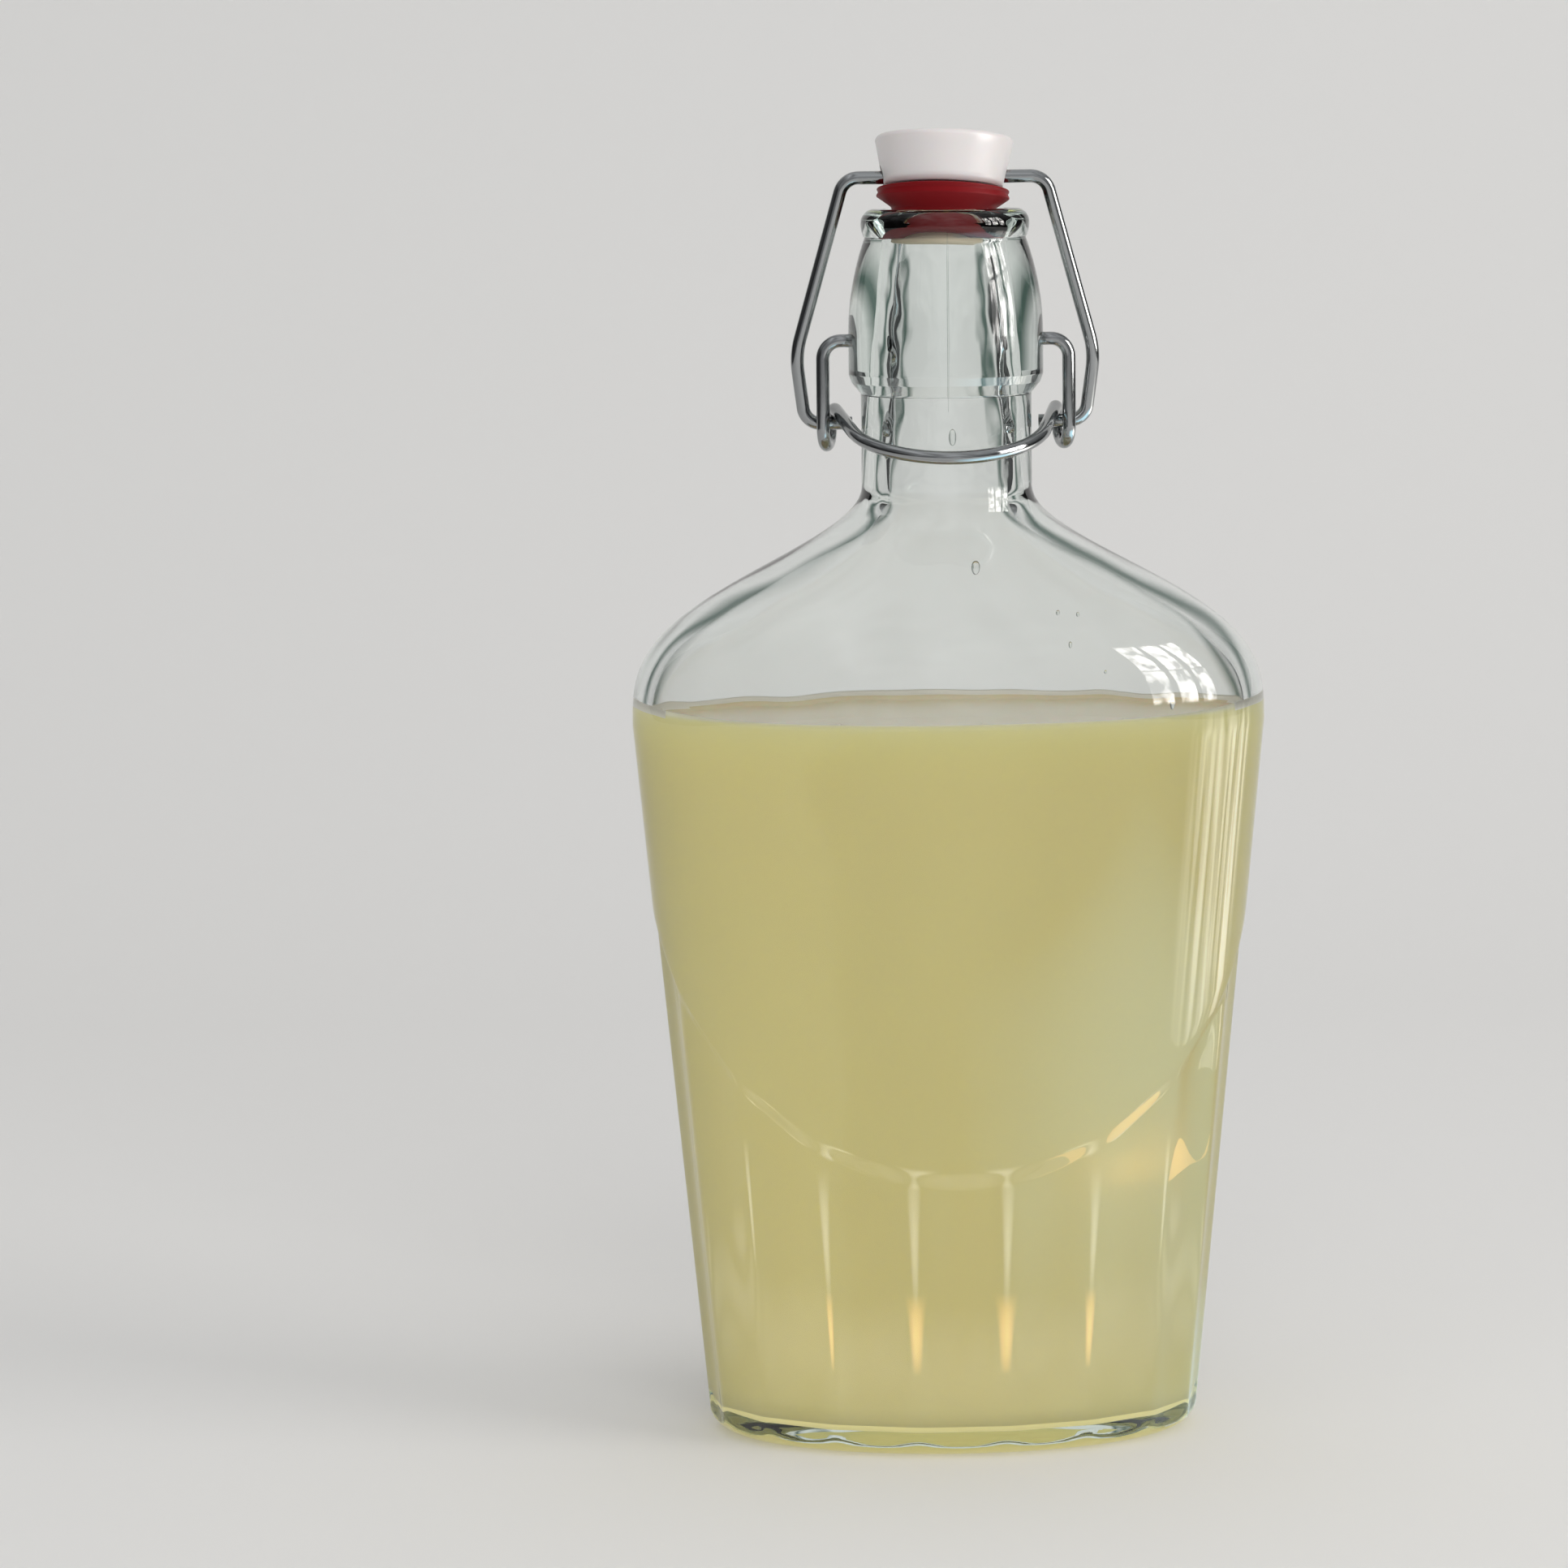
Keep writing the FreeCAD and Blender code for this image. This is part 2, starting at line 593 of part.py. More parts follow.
# Gasket: tapered plug under a grooved rim, held between button and cap
gasket = turned("gasket", [
    ("stem_radius + gasket_room", "button_height"),
    ("plug_bottom_radius", "button_height"),
    ("plug_top_radius", f"{CAP_BOTTOM} - rim_slope - rim_thickness - rim_underside"),
    ("rim_radius", f"{CAP_BOTTOM} - rim_slope - rim_thickness"),
    ("rim_radius - rim_groove", f"{CAP_BOTTOM} - rim_slope - rim_thickness / 2"),
    ("rim_radius", f"{CAP_BOTTOM} - rim_slope"),
    ("rim_shoulder_radius", CAP_BOTTOM),
    ("stem_radius + gasket_room", CAP_BOTTOM),
])

# The loose stopper leans about the crossbar, which passes through the middle of its cross hole
leaning = FreeCAD.Rotation(Vector(1, 0, 0), -size("stopper_lean"))
tilting = FreeCAD.Rotation(Vector(0, 1, 0), size("stopper_tilt"))
resting = leaning.multiply(tilting)
hole_middle = Vector(0, 0, measure(cross_height))
seat = crossbar - Vector(size("stopper_shift"), 0, 0) - resting.multVec(hole_middle)
for piece in (stopper, gasket):
    piece.Placement = FreeCAD.Placement(seat, resting)

PIECES = {
    "glass_bottle": bottle,
    "lever_wire": lever,
    "bail_wire": bail,
    "stopper": stopper,
    "gasket": gasket,
}

doc.recompute()
for item in doc.Objects:
    if "Invalid" in item.State or "Error" in item.State:
        raise RuntimeError(f"{item.Name} failed: {item.State}")
for label, piece in PIECES.items():
    piece.Label = label
    if piece.Shape.isNull() or not piece.Shape.isValid() or len(piece.Shape.Solids) != 1:
        raise RuntimeError(f"{label} is not one valid solid")

os.makedirs("parts", exist_ok=True)
for label, piece in PIECES.items():
    piece.Shape.exportStep(f"parts/{label}.step")
    box = piece.Shape.optimalBoundingBox()
    print(
        f"{label}: volume {piece.Shape.Volume:.0f} mm3, "
        f"x {box.XMin:.1f}..{box.XMax:.1f}, "
        f"y {box.YMin:.1f}..{box.YMax:.1f}, "
        f"z {box.ZMin:.1f}..{box.ZMax:.1f}"
    )
inside = inner_form.Shape.Volume + bore.Shape.Volume
print(f"brimful about {inside / 1000:.0f} ml")
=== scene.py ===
# %% [markdown]
# # Dressing a swing top bottle
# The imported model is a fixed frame: every piece sits where its solid is, in metres, and nothing is moved
# or resized. This lesson gives the frame its looks. The glass and the drink are modelled afresh, because
# clear surfaces show every facet of a mesh, and so is the gasket, because soft rubber hangs lower than
# its solid. The wires and the stopper are smoothed copies of their solids.

# %% Load the frame
import json
import math

import bmesh
import bpy
from mathutils import Matrix, Vector, noise

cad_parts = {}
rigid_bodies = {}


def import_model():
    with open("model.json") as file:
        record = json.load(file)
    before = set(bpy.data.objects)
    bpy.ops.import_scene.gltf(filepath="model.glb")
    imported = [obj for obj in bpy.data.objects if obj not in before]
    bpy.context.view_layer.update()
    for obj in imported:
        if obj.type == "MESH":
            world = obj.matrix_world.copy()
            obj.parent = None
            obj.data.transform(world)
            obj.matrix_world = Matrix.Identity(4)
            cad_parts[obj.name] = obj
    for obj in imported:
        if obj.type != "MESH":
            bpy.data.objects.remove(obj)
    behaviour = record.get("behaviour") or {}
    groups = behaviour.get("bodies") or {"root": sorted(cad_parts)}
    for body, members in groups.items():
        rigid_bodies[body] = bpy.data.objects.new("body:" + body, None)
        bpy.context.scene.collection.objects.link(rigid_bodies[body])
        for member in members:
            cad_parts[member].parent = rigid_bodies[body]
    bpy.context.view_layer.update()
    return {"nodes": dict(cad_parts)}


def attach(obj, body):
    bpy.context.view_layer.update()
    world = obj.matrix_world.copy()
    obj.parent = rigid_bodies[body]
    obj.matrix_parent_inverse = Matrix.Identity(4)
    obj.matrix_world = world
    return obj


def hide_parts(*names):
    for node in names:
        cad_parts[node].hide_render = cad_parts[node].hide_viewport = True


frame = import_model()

MM = 0.001
scene = bpy.context.scene
scene.view_settings.view_transform = "Standard"
print("nodes:", sorted(frame["nodes"]))

# %% [markdown]
# ## The camera
# The picture was taken from a little above the stopper with a long lens. The bottle stands right of the
# middle, its upright leans a hair to the left, and its wide face is turned a few degrees away. Distance,
# height and tilt below were worked out from where the base and the lip fall in the picture, so the camera
# is built from those numbers rather than aimed by eye.

# %% Camera
FRAME_PIXELS = 1932
FOCAL_PIXELS = 6468
SENSOR = 36.0
CAMERA_DISTANCE = 0.875
CAMERA_HEIGHT = 0.226
CAMERA_PITCH = math.radians(7.53)
CAMERA_ROLL = math.radians(-0.66)
VIEW_TURN = math.radians(3.2)
BOTTLE_OFFSET_PIXELS = 205

camera_data = bpy.data.cameras.new("portrait_camera")
camera_data.sensor_width = SENSOR
camera_data.lens = FOCAL_PIXELS / FRAME_PIXELS * SENSOR
camera = bpy.data.objects.new("portrait_camera", camera_data)
scene.collection.objects.link(camera)
aim = math.atan(BOTTLE_OFFSET_PIXELS / FOCAL_PIXELS) - VIEW_TURN
camera_place = Vector((
    -CAMERA_DISTANCE * math.sin(VIEW_TURN),
    -CAMERA_DISTANCE * math.cos(VIEW_TURN),
    CAMERA_HEIGHT,
))
camera_turn = (
    Matrix.Rotation(aim, 4, "Z")
    @ Matrix.Rotation(math.pi / 2 - CAMERA_PITCH, 4, "X")
    @ Matrix.Rotation(CAMERA_ROLL, 4, "Z")
)
camera.matrix_world = Matrix.Translation(camera_place) @ camera_turn
scene.camera = camera
print(f"camera lens {camera_data.lens:.1f} mm")

# %% [markdown]
# ## Helpers for meshes and materials
# A finished piece is a bmesh written to an object at the origin. Most materials here are one Principled
# shader with a few nodes that break up its roughness or colour, so a small function starts each one.


# %% Helpers
def make_piece(name, form, materials, body=None):
    """Object at the origin from a bmesh, riding on a body of the frame."""
    mesh = bpy.data.meshes.new(name)
    form.to_mesh(mesh)
    form.free()
    for polygon in mesh.polygons:
        polygon.use_smooth = True
    for material in materials:
        mesh.materials.append(material)
    piece = bpy.data.objects.new(name, mesh)
    scene.collection.objects.link(piece)
    if body:
        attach(piece, body)
    print(f"{name}: {len(mesh.polygons)} faces")
    return piece


def start_material(name, **settings):
    """Material with a Principled shader whose sockets are set by name."""
    material = bpy.data.materials.new(name)
    material.use_nodes = True
    shader = material.node_tree.nodes["Principled BSDF"]
    for socket, value in settings.items():
        shader.inputs[socket.replace("_", " ")].default_value = value
    return material


def add_node(material, kind, **inputs):
    """Node of a kind, with its named inputs set."""
    node = material.node_tree.nodes.new(kind)
    for socket, value in inputs.items():
        node.inputs[socket.replace("_", " ")].default_value = value
    return node


def speckle_gloss(material, scale, low, high):
    """Roughness spread between two values by a fine noise on Object coordinates."""
    links = material.node_tree.links
    spot = add_node(material, "ShaderNodeTexCoord")
    grain = add_node(material, "ShaderNodeTexNoise", Scale=scale, Detail=3.0)
    spread = add_node(material, "ShaderNodeMapRange", To_Min=low, To_Max=high)
    links.new(spot.outputs["Object"], grain.inputs["Vector"])
    links.new(grain.outputs["Fac"], spread.inputs["Value"])
    shader = material.node_tree.nodes["Principled BSDF"]
    links.new(spread.outputs["Result"], shader.inputs["Roughness"])


# %% [markdown]
# Light and glow are mixed from numbers and other nodes' outputs, so these helpers take either.


# %% Node arithmetic
def feed(tree, socket, value):
    """Set a socket to a number, or link it to an output."""
    if isinstance(value, (int, float)):
        socket.default_value = value
    else:
        tree.links.new(value, socket)


def maths(tree, operation, first, second, clamp=False):
    """Output of a math node."""
    node = tree.nodes.new("ShaderNodeMath")
    node.operation = operation
    node.use_clamp = clamp
    feed(tree, node.inputs[0], first)
    feed(tree, node.inputs[1], second)
    return node.outputs["Value"]


def ranged(tree, value, start, end, low, high):
    """A value's range from start to end, spread from low to high."""
    node = tree.nodes.new("ShaderNodeMapRange")
    for name, number in (("From Min", start), ("From Max", end), ("To Min", low), ("To Max", high)):
        node.inputs[name].default_value = number
    tree.links.new(value, node.inputs["Value"])
    return node.outputs["Result"]


def mixed(tree, share, first, second):
    """First where the share is 0, second where it is 1."""
    node = tree.nodes.new("ShaderNodeMix")
    for name, value in (("Factor", share), ("A", first), ("B", second)):
        feed(tree, node.inputs[name], value)
    return node.outputs["Result"]


# %% [markdown]
# ## Floor and backdrop
# One pale sheet runs from under the bottle up into a wall, with a wide curve between them, so that no
# line crosses the picture behind the glass. It is extruded from a bent edge. Clear glass draws its
# outline with the dark things that stand beside a backdrop, so rays that come through glass find a dark
# green stripe on each side of the sheet.

# %% Floor and backdrop
SHEET_HALF_WIDTH = 1.25
SHEET_FRONT = -3.0
SHEET_BACK = 1.1
SHEET_CURVE = 0.7
SHEET_TOP = 2.4
CURVE_STEPS = 24

sheet_form = bmesh.new()
edge_points = [(SHEET_FRONT, 0.0)]
for step in range(CURVE_STEPS + 1):
    angle = math.pi / 2 * step / CURVE_STEPS
    edge_points.append((
        SHEET_BACK - SHEET_CURVE + SHEET_CURVE * math.sin(angle),
        SHEET_CURVE - SHEET_CURVE * math.cos(angle),
    ))
edge_points.append((SHEET_BACK, SHEET_TOP))
bent = [sheet_form.verts.new((-SHEET_HALF_WIDTH, y, z)) for y, z in edge_points]
edges = [sheet_form.edges.new(pair) for pair in zip(bent, bent[1:])]
pulled = bmesh.ops.extrude_edge_only(sheet_form, edges=edges)
moved = [item for item in pulled["geom"] if isinstance(item, bmesh.types.BMVert)]
bmesh.ops.translate(sheet_form, verts=moved, vec=(2 * SHEET_HALF_WIDTH, 0, 0))
bmesh.ops.recalc_face_normals(sheet_form, faces=sheet_form.faces)

PALE_PAPER = (0.82, 0.81, 0.795, 1)
DARK_GREEN = (0.10, 0.15, 0.13, 1)
STRIPE_FADES_IN = (0.32, 0.5)
STRIPE_FADES_OUT = (0.55, 0.8)
paper = start_material("pale_paper", Roughness=0.55, Specular_IOR_Level=0.0)
sheet_nodes = paper.node_tree
sheet_split = add_node(paper, "ShaderNodeSeparateXYZ")
sheet_spot = add_node(paper, "ShaderNodeTexCoord").outputs["Object"]
sheet_nodes.links.new(sheet_spot, sheet_split.inputs["Vector"])
off_middle = maths(sheet_nodes, "ABSOLUTE", sheet_split.outputs["X"], 0)
fade_in = ranged(sheet_nodes, off_middle, *STRIPE_FADES_IN, 0, 1)
fade_out = ranged(sheet_nodes, off_middle, *STRIPE_FADES_OUT, 1, 0)
stripe = maths(sheet_nodes, "MULTIPLY", fade_in, fade_out)
through_glass = add_node(paper, "ShaderNodeLightPath").outputs["Is Transmission Ray"]
sheet_colour = add_node(paper, "ShaderNodeMix")
sheet_colour.data_type = "RGBA"
for socket in sheet_colour.inputs:
    if socket.type == "RGBA":
        socket.default_value = PALE_PAPER if socket.name == "A" else DARK_GREEN
feed(sheet_nodes, sheet_colour.inputs["Factor"], maths(sheet_nodes, "MULTIPLY", stripe, through_glass))
mixed_colour = next(socket for socket in sheet_colour.outputs if socket.type == "RGBA")
sheet_nodes.links.new(mixed_colour, sheet_nodes.nodes["Principled BSDF"].inputs["Base Color"])
backdrop = make_piece("backdrop", sheet_form, [paper])

# %% [markdown]
# ## Light
# One bright sky could light everything, but it would lie over the glass as a white veil. So soft panels
# on the right, in front, on the left and above light what is matt and can't be seen in the glass. The
# last panel is for the drink alone, and is tied to it further down. Each call gives a place, a width, a
# height, a brightness and a colour.

# %% Soft panels
LIGHT_TARGET = Vector((0, 0, 0.11))
ALL_BUT_DIFFUSE = ("camera", "glossy", "transmission", "volume_scatter")
ALL_BUT_GLOSSY = ("camera", "diffuse", "transmission", "volume_scatter")


def facing_along(place, way):
    """Matrix of something at a place that shines along a way."""
    return Matrix.Translation(place) @ way.to_track_quat("-Z", "Y").to_matrix().to_4x4()


def towards_target(place):
    """Matrix of something at a place that shines at the bottle."""
    return facing_along(place, LIGHT_TARGET - Vector(place))


def hide_from(thing, ray_kinds):
    for ray_kind in ray_kinds:
        setattr(thing, f"visible_{ray_kind}", False)


def area_lamp(name, matrix, width, height, radiance, colour, hidden_from):
    """Rectangular lamp that some kinds of rays can't see."""
    data = bpy.data.lights.new(name, "AREA")
    data.shape = "RECTANGLE"
    data.size = width
    data.size_y = height
    data.energy = radiance * math.pi * width * height
    data.color = colour
    lamp = bpy.data.objects.new(name, data)
    scene.collection.objects.link(lamp)
    lamp.matrix_world = matrix
    hide_from(lamp, hidden_from)
    print(f"{name}: lamp of {data.energy:.3f} W")
    return lamp


def soft_panel(name, place, width, height, radiance, colour):
    """Lamp that lights only what is matt."""
    return area_lamp(name, towards_target(place), width, height, radiance, colour, ALL_BUT_DIFFUSE)


soft_panel("window_light", (1.15, -0.5, 0.62), 0.6, 0.75, 3.9, (1.0, 0.98, 0.95))
soft_panel("front_fill", (0.2, -1.5, 0.9), 1.2, 1.0, 2.2, (0.98, 0.99, 1.0))
soft_panel("left_fill", (-0.9, -1.0, 0.8), 1.0, 1.0, 0.3, (0.96, 0.98, 1.0))
soft_panel("top_fill", (0.0, 0.1, 1.8), 1.6, 1.6, 0.6, (1.0, 0.99, 0.97))
drink_fill = soft_panel("drink_fill", (-0.9, -0.6, 0.35), 0.8, 0.6, 3.2, (1.0, 1.0, 1.0))

# %% [markdown]
# The highlights in the glass come from glowing cards that only mirrors can see. Each shines on one side,
# hides nothing behind it and fades towards its edges, as things do that are out of focus. A tall mottled
# window of six panes stands to the right, and a curtain of upright streaks beside the bottle gives the
# long soft lines down its right side. The sides of the bottle lean outwards, so they mirror the floor: a
# sheen on it lies as a pale veil over the right of the drink.

# %% Glowing cards
WARM = (1.0, 0.55, 0.18)
WHITE = (1.0, 0.97, 0.90)
TURNED_OVER = Matrix.Rotation(math.pi, 4, "X")
MOTTLE_CONTRAST = (0.38, 0.62, 0.12, 1.3)


def glow(name, colour, strength, edge, mottle=None):
    """Clear card whose front glows, less near its edges; mottle is a scale along each axis."""
    material = bpy.data.materials.new(name)
    material.use_nodes = True
    tree = material.node_tree
    tree.nodes.remove(tree.nodes["Principled BSDF"])
    spot = tree.nodes.new("ShaderNodeTexCoord")
    ends = tree.nodes.new("ShaderNodeSeparateXYZ")
    tree.links.new(spot.outputs["UV"], ends.inputs["Vector"])
    backfacing = tree.nodes.new("ShaderNodeNewGeometry").outputs["Backfacing"]
    level = maths(tree, "MULTIPLY", strength, maths(tree, "SUBTRACT", 1, backfacing))
    for axis in ("X", "Y"):
        hump = maths(tree, "MULTIPLY", ends.outputs[axis], maths(tree, "SUBTRACT", 1, ends.outputs[axis]))
        level = maths(tree, "MULTIPLY", level, maths(tree, "MULTIPLY", hump, 4 * edge, clamp=True))
    if mottle:
        stretch = tree.nodes.new("ShaderNodeVectorMath")
        stretch.operation = "MULTIPLY"
        stretch.inputs[1].default_value = mottle
        grain = add_node(material, "ShaderNodeTexNoise", Scale=1.0)
        tree.links.new(spot.outputs["Object"], stretch.inputs[0])
        tree.links.new(stretch.outputs["Vector"], grain.inputs["Vector"])
        level = maths(tree, "MULTIPLY", level, ranged(tree, grain.outputs["Fac"], *MOTTLE_CONTRAST))
    emission = add_node(material, "ShaderNodeEmission", Color=(*colour, 1))
    tree.links.new(level, emission.inputs["Strength"])
    clear = tree.nodes.new("ShaderNodeBsdfTransparent")
    both = tree.nodes.new("ShaderNodeAddShader")
    tree.links.new(emission.outputs["Emission"], both.inputs[0])
    tree.links.new(clear.outputs["BSDF"], both.inputs[1])
    tree.links.new(both.outputs["Shader"], tree.nodes["Material Output"].inputs["Surface"])
    return material


def glow_card(name, matrix, width, height, material):
    """Card that only mirrors can see; it shines the way a lamp with the same matrix does."""
    form = bmesh.new()
    form.loops.layers.uv.new("UVMap")
    sized = matrix @ TURNED_OVER @ Matrix.Diagonal((width, height, 1, 1))
    bmesh.ops.create_grid(form, size=0.5, calc_uvs=True, matrix=sized)
    card = make_piece(name, form, [material])
    hide_from(card, (*ALL_BUT_GLOSSY, "shadow"))


# %% Window, curtain and veil
WINDOW_BEARINGS = (58, 69.5, 81)
WINDOW_HEIGHTS = (0.35, 0.84)
WINDOW_DISTANCE = 1.25
PANE_SIZE = (0.20, 0.47)
CURTAIN_PLACE = (0.27, 0.01, 0.05)
CURTAIN_SIZE = (0.24, 0.13)
VEIL_PLACE = (0.21, -0.13, 0.002)
VEIL_SIZE = (0.40, 0.40)

window_glow = glow("window_glow", (1.0, 0.98, 0.95), 14.0, 4.0, (9, 9, 5))
for column, bearing in enumerate(WINDOW_BEARINGS):
    turned = math.radians(bearing)
    for row, height in enumerate(WINDOW_HEIGHTS):
        pane_place = (WINDOW_DISTANCE * math.sin(turned), -WINDOW_DISTANCE * math.cos(turned), height)
        glow_card(f"window_pane_{column}_{row}", towards_target(pane_place), *PANE_SIZE, window_glow)
curtain_glow = glow("curtain_glow", WHITE, 4.5, 1.2, (60, 60, 2))
glow_card("curtain", towards_target(CURTAIN_PLACE), *CURTAIN_SIZE, curtain_glow)
veil_glow = glow("veil_glow", (0.45, 0.85, 1.0), 2.2, 1.0)
glow_card("floor_veil", Matrix.Translation(VEIL_PLACE) @ TURNED_OVER, *VEIL_SIZE, veil_glow)

# %% [markdown]
# The room fills the shadows evenly, but glass and wire draw their outlines with whatever dark things
# their edges bend into view. So the room has two faces: rays that have already met something matt find an
# even fill, and rays that reach it straight from a mirror or through clear glass find a room that is dark
# at its sides, brighter elsewhere, and uneven, as rooms are. Light reaches the drink straight through the
# glass, so a scattered ray that leaves through the glass finds nothing more: it would count the same
# light twice.

# %% Room
SEEN_BEHIND = 0.66
world = bpy.data.worlds.new("grey_room")
scene.world = world
world.use_nodes = True
room = world.node_tree
room_spot = room.nodes.new("ShaderNodeTexCoord").outputs["Generated"]
room_split = room.nodes.new("ShaderNodeSeparateXYZ")
room_patches = room.nodes.new("ShaderNodeTexNoise")
room_patches.inputs["Scale"].default_value = 4.0
room.links.new(room_spot, room_split.inputs["Vector"])
room.links.new(room_spot, room_patches.inputs["Vector"])
ray = room.nodes.new("ShaderNodeLightPath").outputs

even_fill = ranged(room, room_split.outputs["X"], -1, 1, 0.36, 0.54)
beside = maths(room, "ABSOLUTE", room_split.outputs["X"], 0)
dark_sides = ranged(room, beside, 0.35, 0.75, 0.5, 0.06)
above = ranged(room, room_split.outputs["Z"], 0.15, 0.7, 0.0, 0.35)
uneven = ranged(room, room_patches.outputs["Fac"], 0.3, 0.7, 0.3, 1.35)
seen_room = maths(room, "MULTIPLY", maths(room, "ADD", dark_sides, above), uneven)
mirrored = maths(room, "ADD", ray["Is Glossy Ray"], ray["Is Transmission Ray"], clamp=True)
unscattered = maths(room, "SUBTRACT", 1, ray["Diffuse Depth"], clamp=True)
outside = maths(room, "SUBTRACT", 1, ray["Is Transmission Ray"], clamp=True)
straight = maths(room, "MULTIPLY", mirrored, unscattered)
room_level = mixed(room, straight, maths(room, "MULTIPLY", even_fill, outside), seen_room)
backdrop_level = mixed(room, ray["Is Camera Ray"], room_level, SEEN_BEHIND)
room.links.new(backdrop_level, room.nodes["Background"].inputs["Strength"])
room.nodes["Background"].inputs["Color"].default_value = (0.97, 0.985, 1.0, 1)
print(f"room: {len(room.nodes)} nodes")

# %% [markdown]
# ## The shape of the glass
# The body is an oval at every level: a straight taper from the foot to the shoulder, then a squared
# cosine that draws the oval in to the round neck. The foot has shallow facets that end at an arc like a
# smile. A pressed bottle could be lofted from curves, but a grid of vertices bent over a formula keeps
# every row and column of quads where the glass needs them, with one row exactly on the smile. The sizes
# below are in mm. They are the solid's own, except that the base is thinner, the hollow's lower corner is
# rounded less, the edge of the mouth is rounded more, the bore goes on narrowing up to the lip, and the
# holes for the wire are left out.

# %% Sizes of the glass
BASE_HALF = (41.6, 25.0)
BODY_HALF = (53.0, 31.0)
SHOULDER_HEIGHT = 120.8
NECK_HEIGHT = 160.3
NECK_RADIUS = 14.2
SHOULDER_POWER = 1.5
HEEL_RADIUS = 5.0
WALL = 3.0
SHOULDER_DROP = 2.2
BASE_THICKNESS = 3.8
CAVITY_HEEL = 4.5
PUSH_UP = 1.5
STANDING_RING = 3.6
FACET_COUNT = 18
FACET_INSET = 0.45
FLUTE_DEPTH = 0.25
FACET_LOW = 47.5
FACET_ARC = 51.0
BORE_RADIUS = 9.35
BORE_FLARE = 0.6
COLLAR_BOTTOM = 175.2
INNER_SHOULDER = SHOULDER_HEIGHT - SHOULDER_DROP
INNER_NECK = NECK_HEIGHT - SHOULDER_DROP
BORE_FOOT = (INNER_NECK + COLLAR_BOTTOM) / 2


def half_axes(height, wall, neck_radius, drop):
    """Half width and half depth of the oval at a height."""
    shoulder = SHOULDER_HEIGHT - drop
    taper = min(1, height / shoulder)
    climb = min(1, max(0, (height - shoulder) / (NECK_HEIGHT - SHOULDER_HEIGHT)))
    share = math.cos(math.pi / 2 * climb ** SHOULDER_POWER) ** 2
    axes = []
    for base, body in zip(BASE_HALF, BODY_HALF):
        oval = base + (body - base) * taper - wall
        axes.append(neck_radius + (oval - neck_radius) * share)
    return axes


def outer_axes(height):
    return half_axes(height, 0, NECK_RADIUS, 0)


def inner_axes(height):
    """The hollow is a little wider at the foot of the neck, and the bore narrows from there up."""
    along = max(0, (height - INNER_NECK) / (COLLAR_BOTTOM - INNER_NECK))
    return half_axes(height, WALL, BORE_RADIUS + BORE_FLARE * (1 - 2 * along), SHOULDER_DROP)


print(f"body: {2 * BODY_HALF[0]:.0f} mm wide and {2 * BODY_HALF[1]:.0f} mm deep at the shoulder")


# %% [markdown]
# A facet is a chord of the oval, hollowed a little. Squeezing the oval to a circle keeps straight lines
# straight, so the dip of a facet is found on the circle once and serves every level. The ridges between
# facets are rounded, as they are in pressed glass, and it is on them that the light catches.

# %% Facets and smile
FACET_TURN = 2 * math.pi / FACET_COUNT
CHORD_DIP = 1 - math.cos(FACET_TURN / 2)
RIDGE_ROUND = 0.07
SMILE_SOFTNESS = 1.6
SMILE_EASING = 0.3
SETTLING_STEPS = 40
ARC_MARGIN = 0.01


def facet_dip(angle):
    """0 on a ridge between two facets, 1 in the middle of a facet."""
    half = FACET_TURN / 2
    from_ridge = half - abs(angle % FACET_TURN - half)
    reach = math.hypot(half, RIDGE_ROUND) - RIDGE_ROUND
    soft = (math.hypot(from_ridge, RIDGE_ROUND) - RIDGE_ROUND) / reach
    return 1 - (1 - soft) ** 2


def smile_height(angle):
    """Height where the arc crosses the side in a direction."""
    height = FACET_LOW
    for _ in range(SETTLING_STEPS):
        across = min(abs(outer_axes(height)[0] * math.cos(angle)), FACET_ARC - ARC_MARGIN)
        height = (height + FACET_LOW + FACET_ARC - math.sqrt(FACET_ARC ** 2 - across ** 2)) / 2
    return height


def on_oval(axes, angle, height):
    return Vector((axes[0] * math.cos(angle), axes[1] * math.sin(angle), height))


def outer_point(angle, height, inset=0.0):
    """Outside of the glass, with its facets below the smile; inset draws the heel in."""
    axes = outer_axes(height)
    smooth = on_oval((axes[0] - inset, axes[1] - inset), angle, height)
    dip = facet_dip(angle)
    flat_axes = [(axis - FACET_INSET) * (1 - CHORD_DIP * dip) - FLUTE_DEPTH * dip for axis in axes]
    flat = on_oval(flat_axes, angle, height)
    if flat.xy.length > smooth.xy.length:
        flat = smooth
    rise = (height - smile_height(angle)) / SMILE_SOFTNESS
    share = min(1, max(0, (rise + 1) / 2))
    eased = share * share * (3 - 2 * share)
    return flat.lerp(smooth, (1 - SMILE_EASING) * share + SMILE_EASING * eased)


print(f"smile: {smile_height(-math.pi / 2):.1f} mm high in the middle, {smile_height(0):.1f} mm at the ends")


# %% [markdown]
# The inside of such a bottle is never as true as its outside, because it is blown and not pressed. A slow
# noise moves the inner wall by a tenth of a millimetre or so, and in the neck a finer one breaks up its
# dark lines.

# %% Inside of the glass
WAVER = 0.24
WAVER_SCALE = (0.11, 0.11, 0.045)
RIPPLE = 0.11
RIPPLE_SCALE = (0.5, 0.5, 0.33)
RIPPLE_START = 150
RIPPLE_FADE = 12


def waver_at(place, scales):
    """Slow noise at a place, with a scale along each axis."""
    return noise.noise(Vector([part * scale for part, scale in zip(place, scales)]))


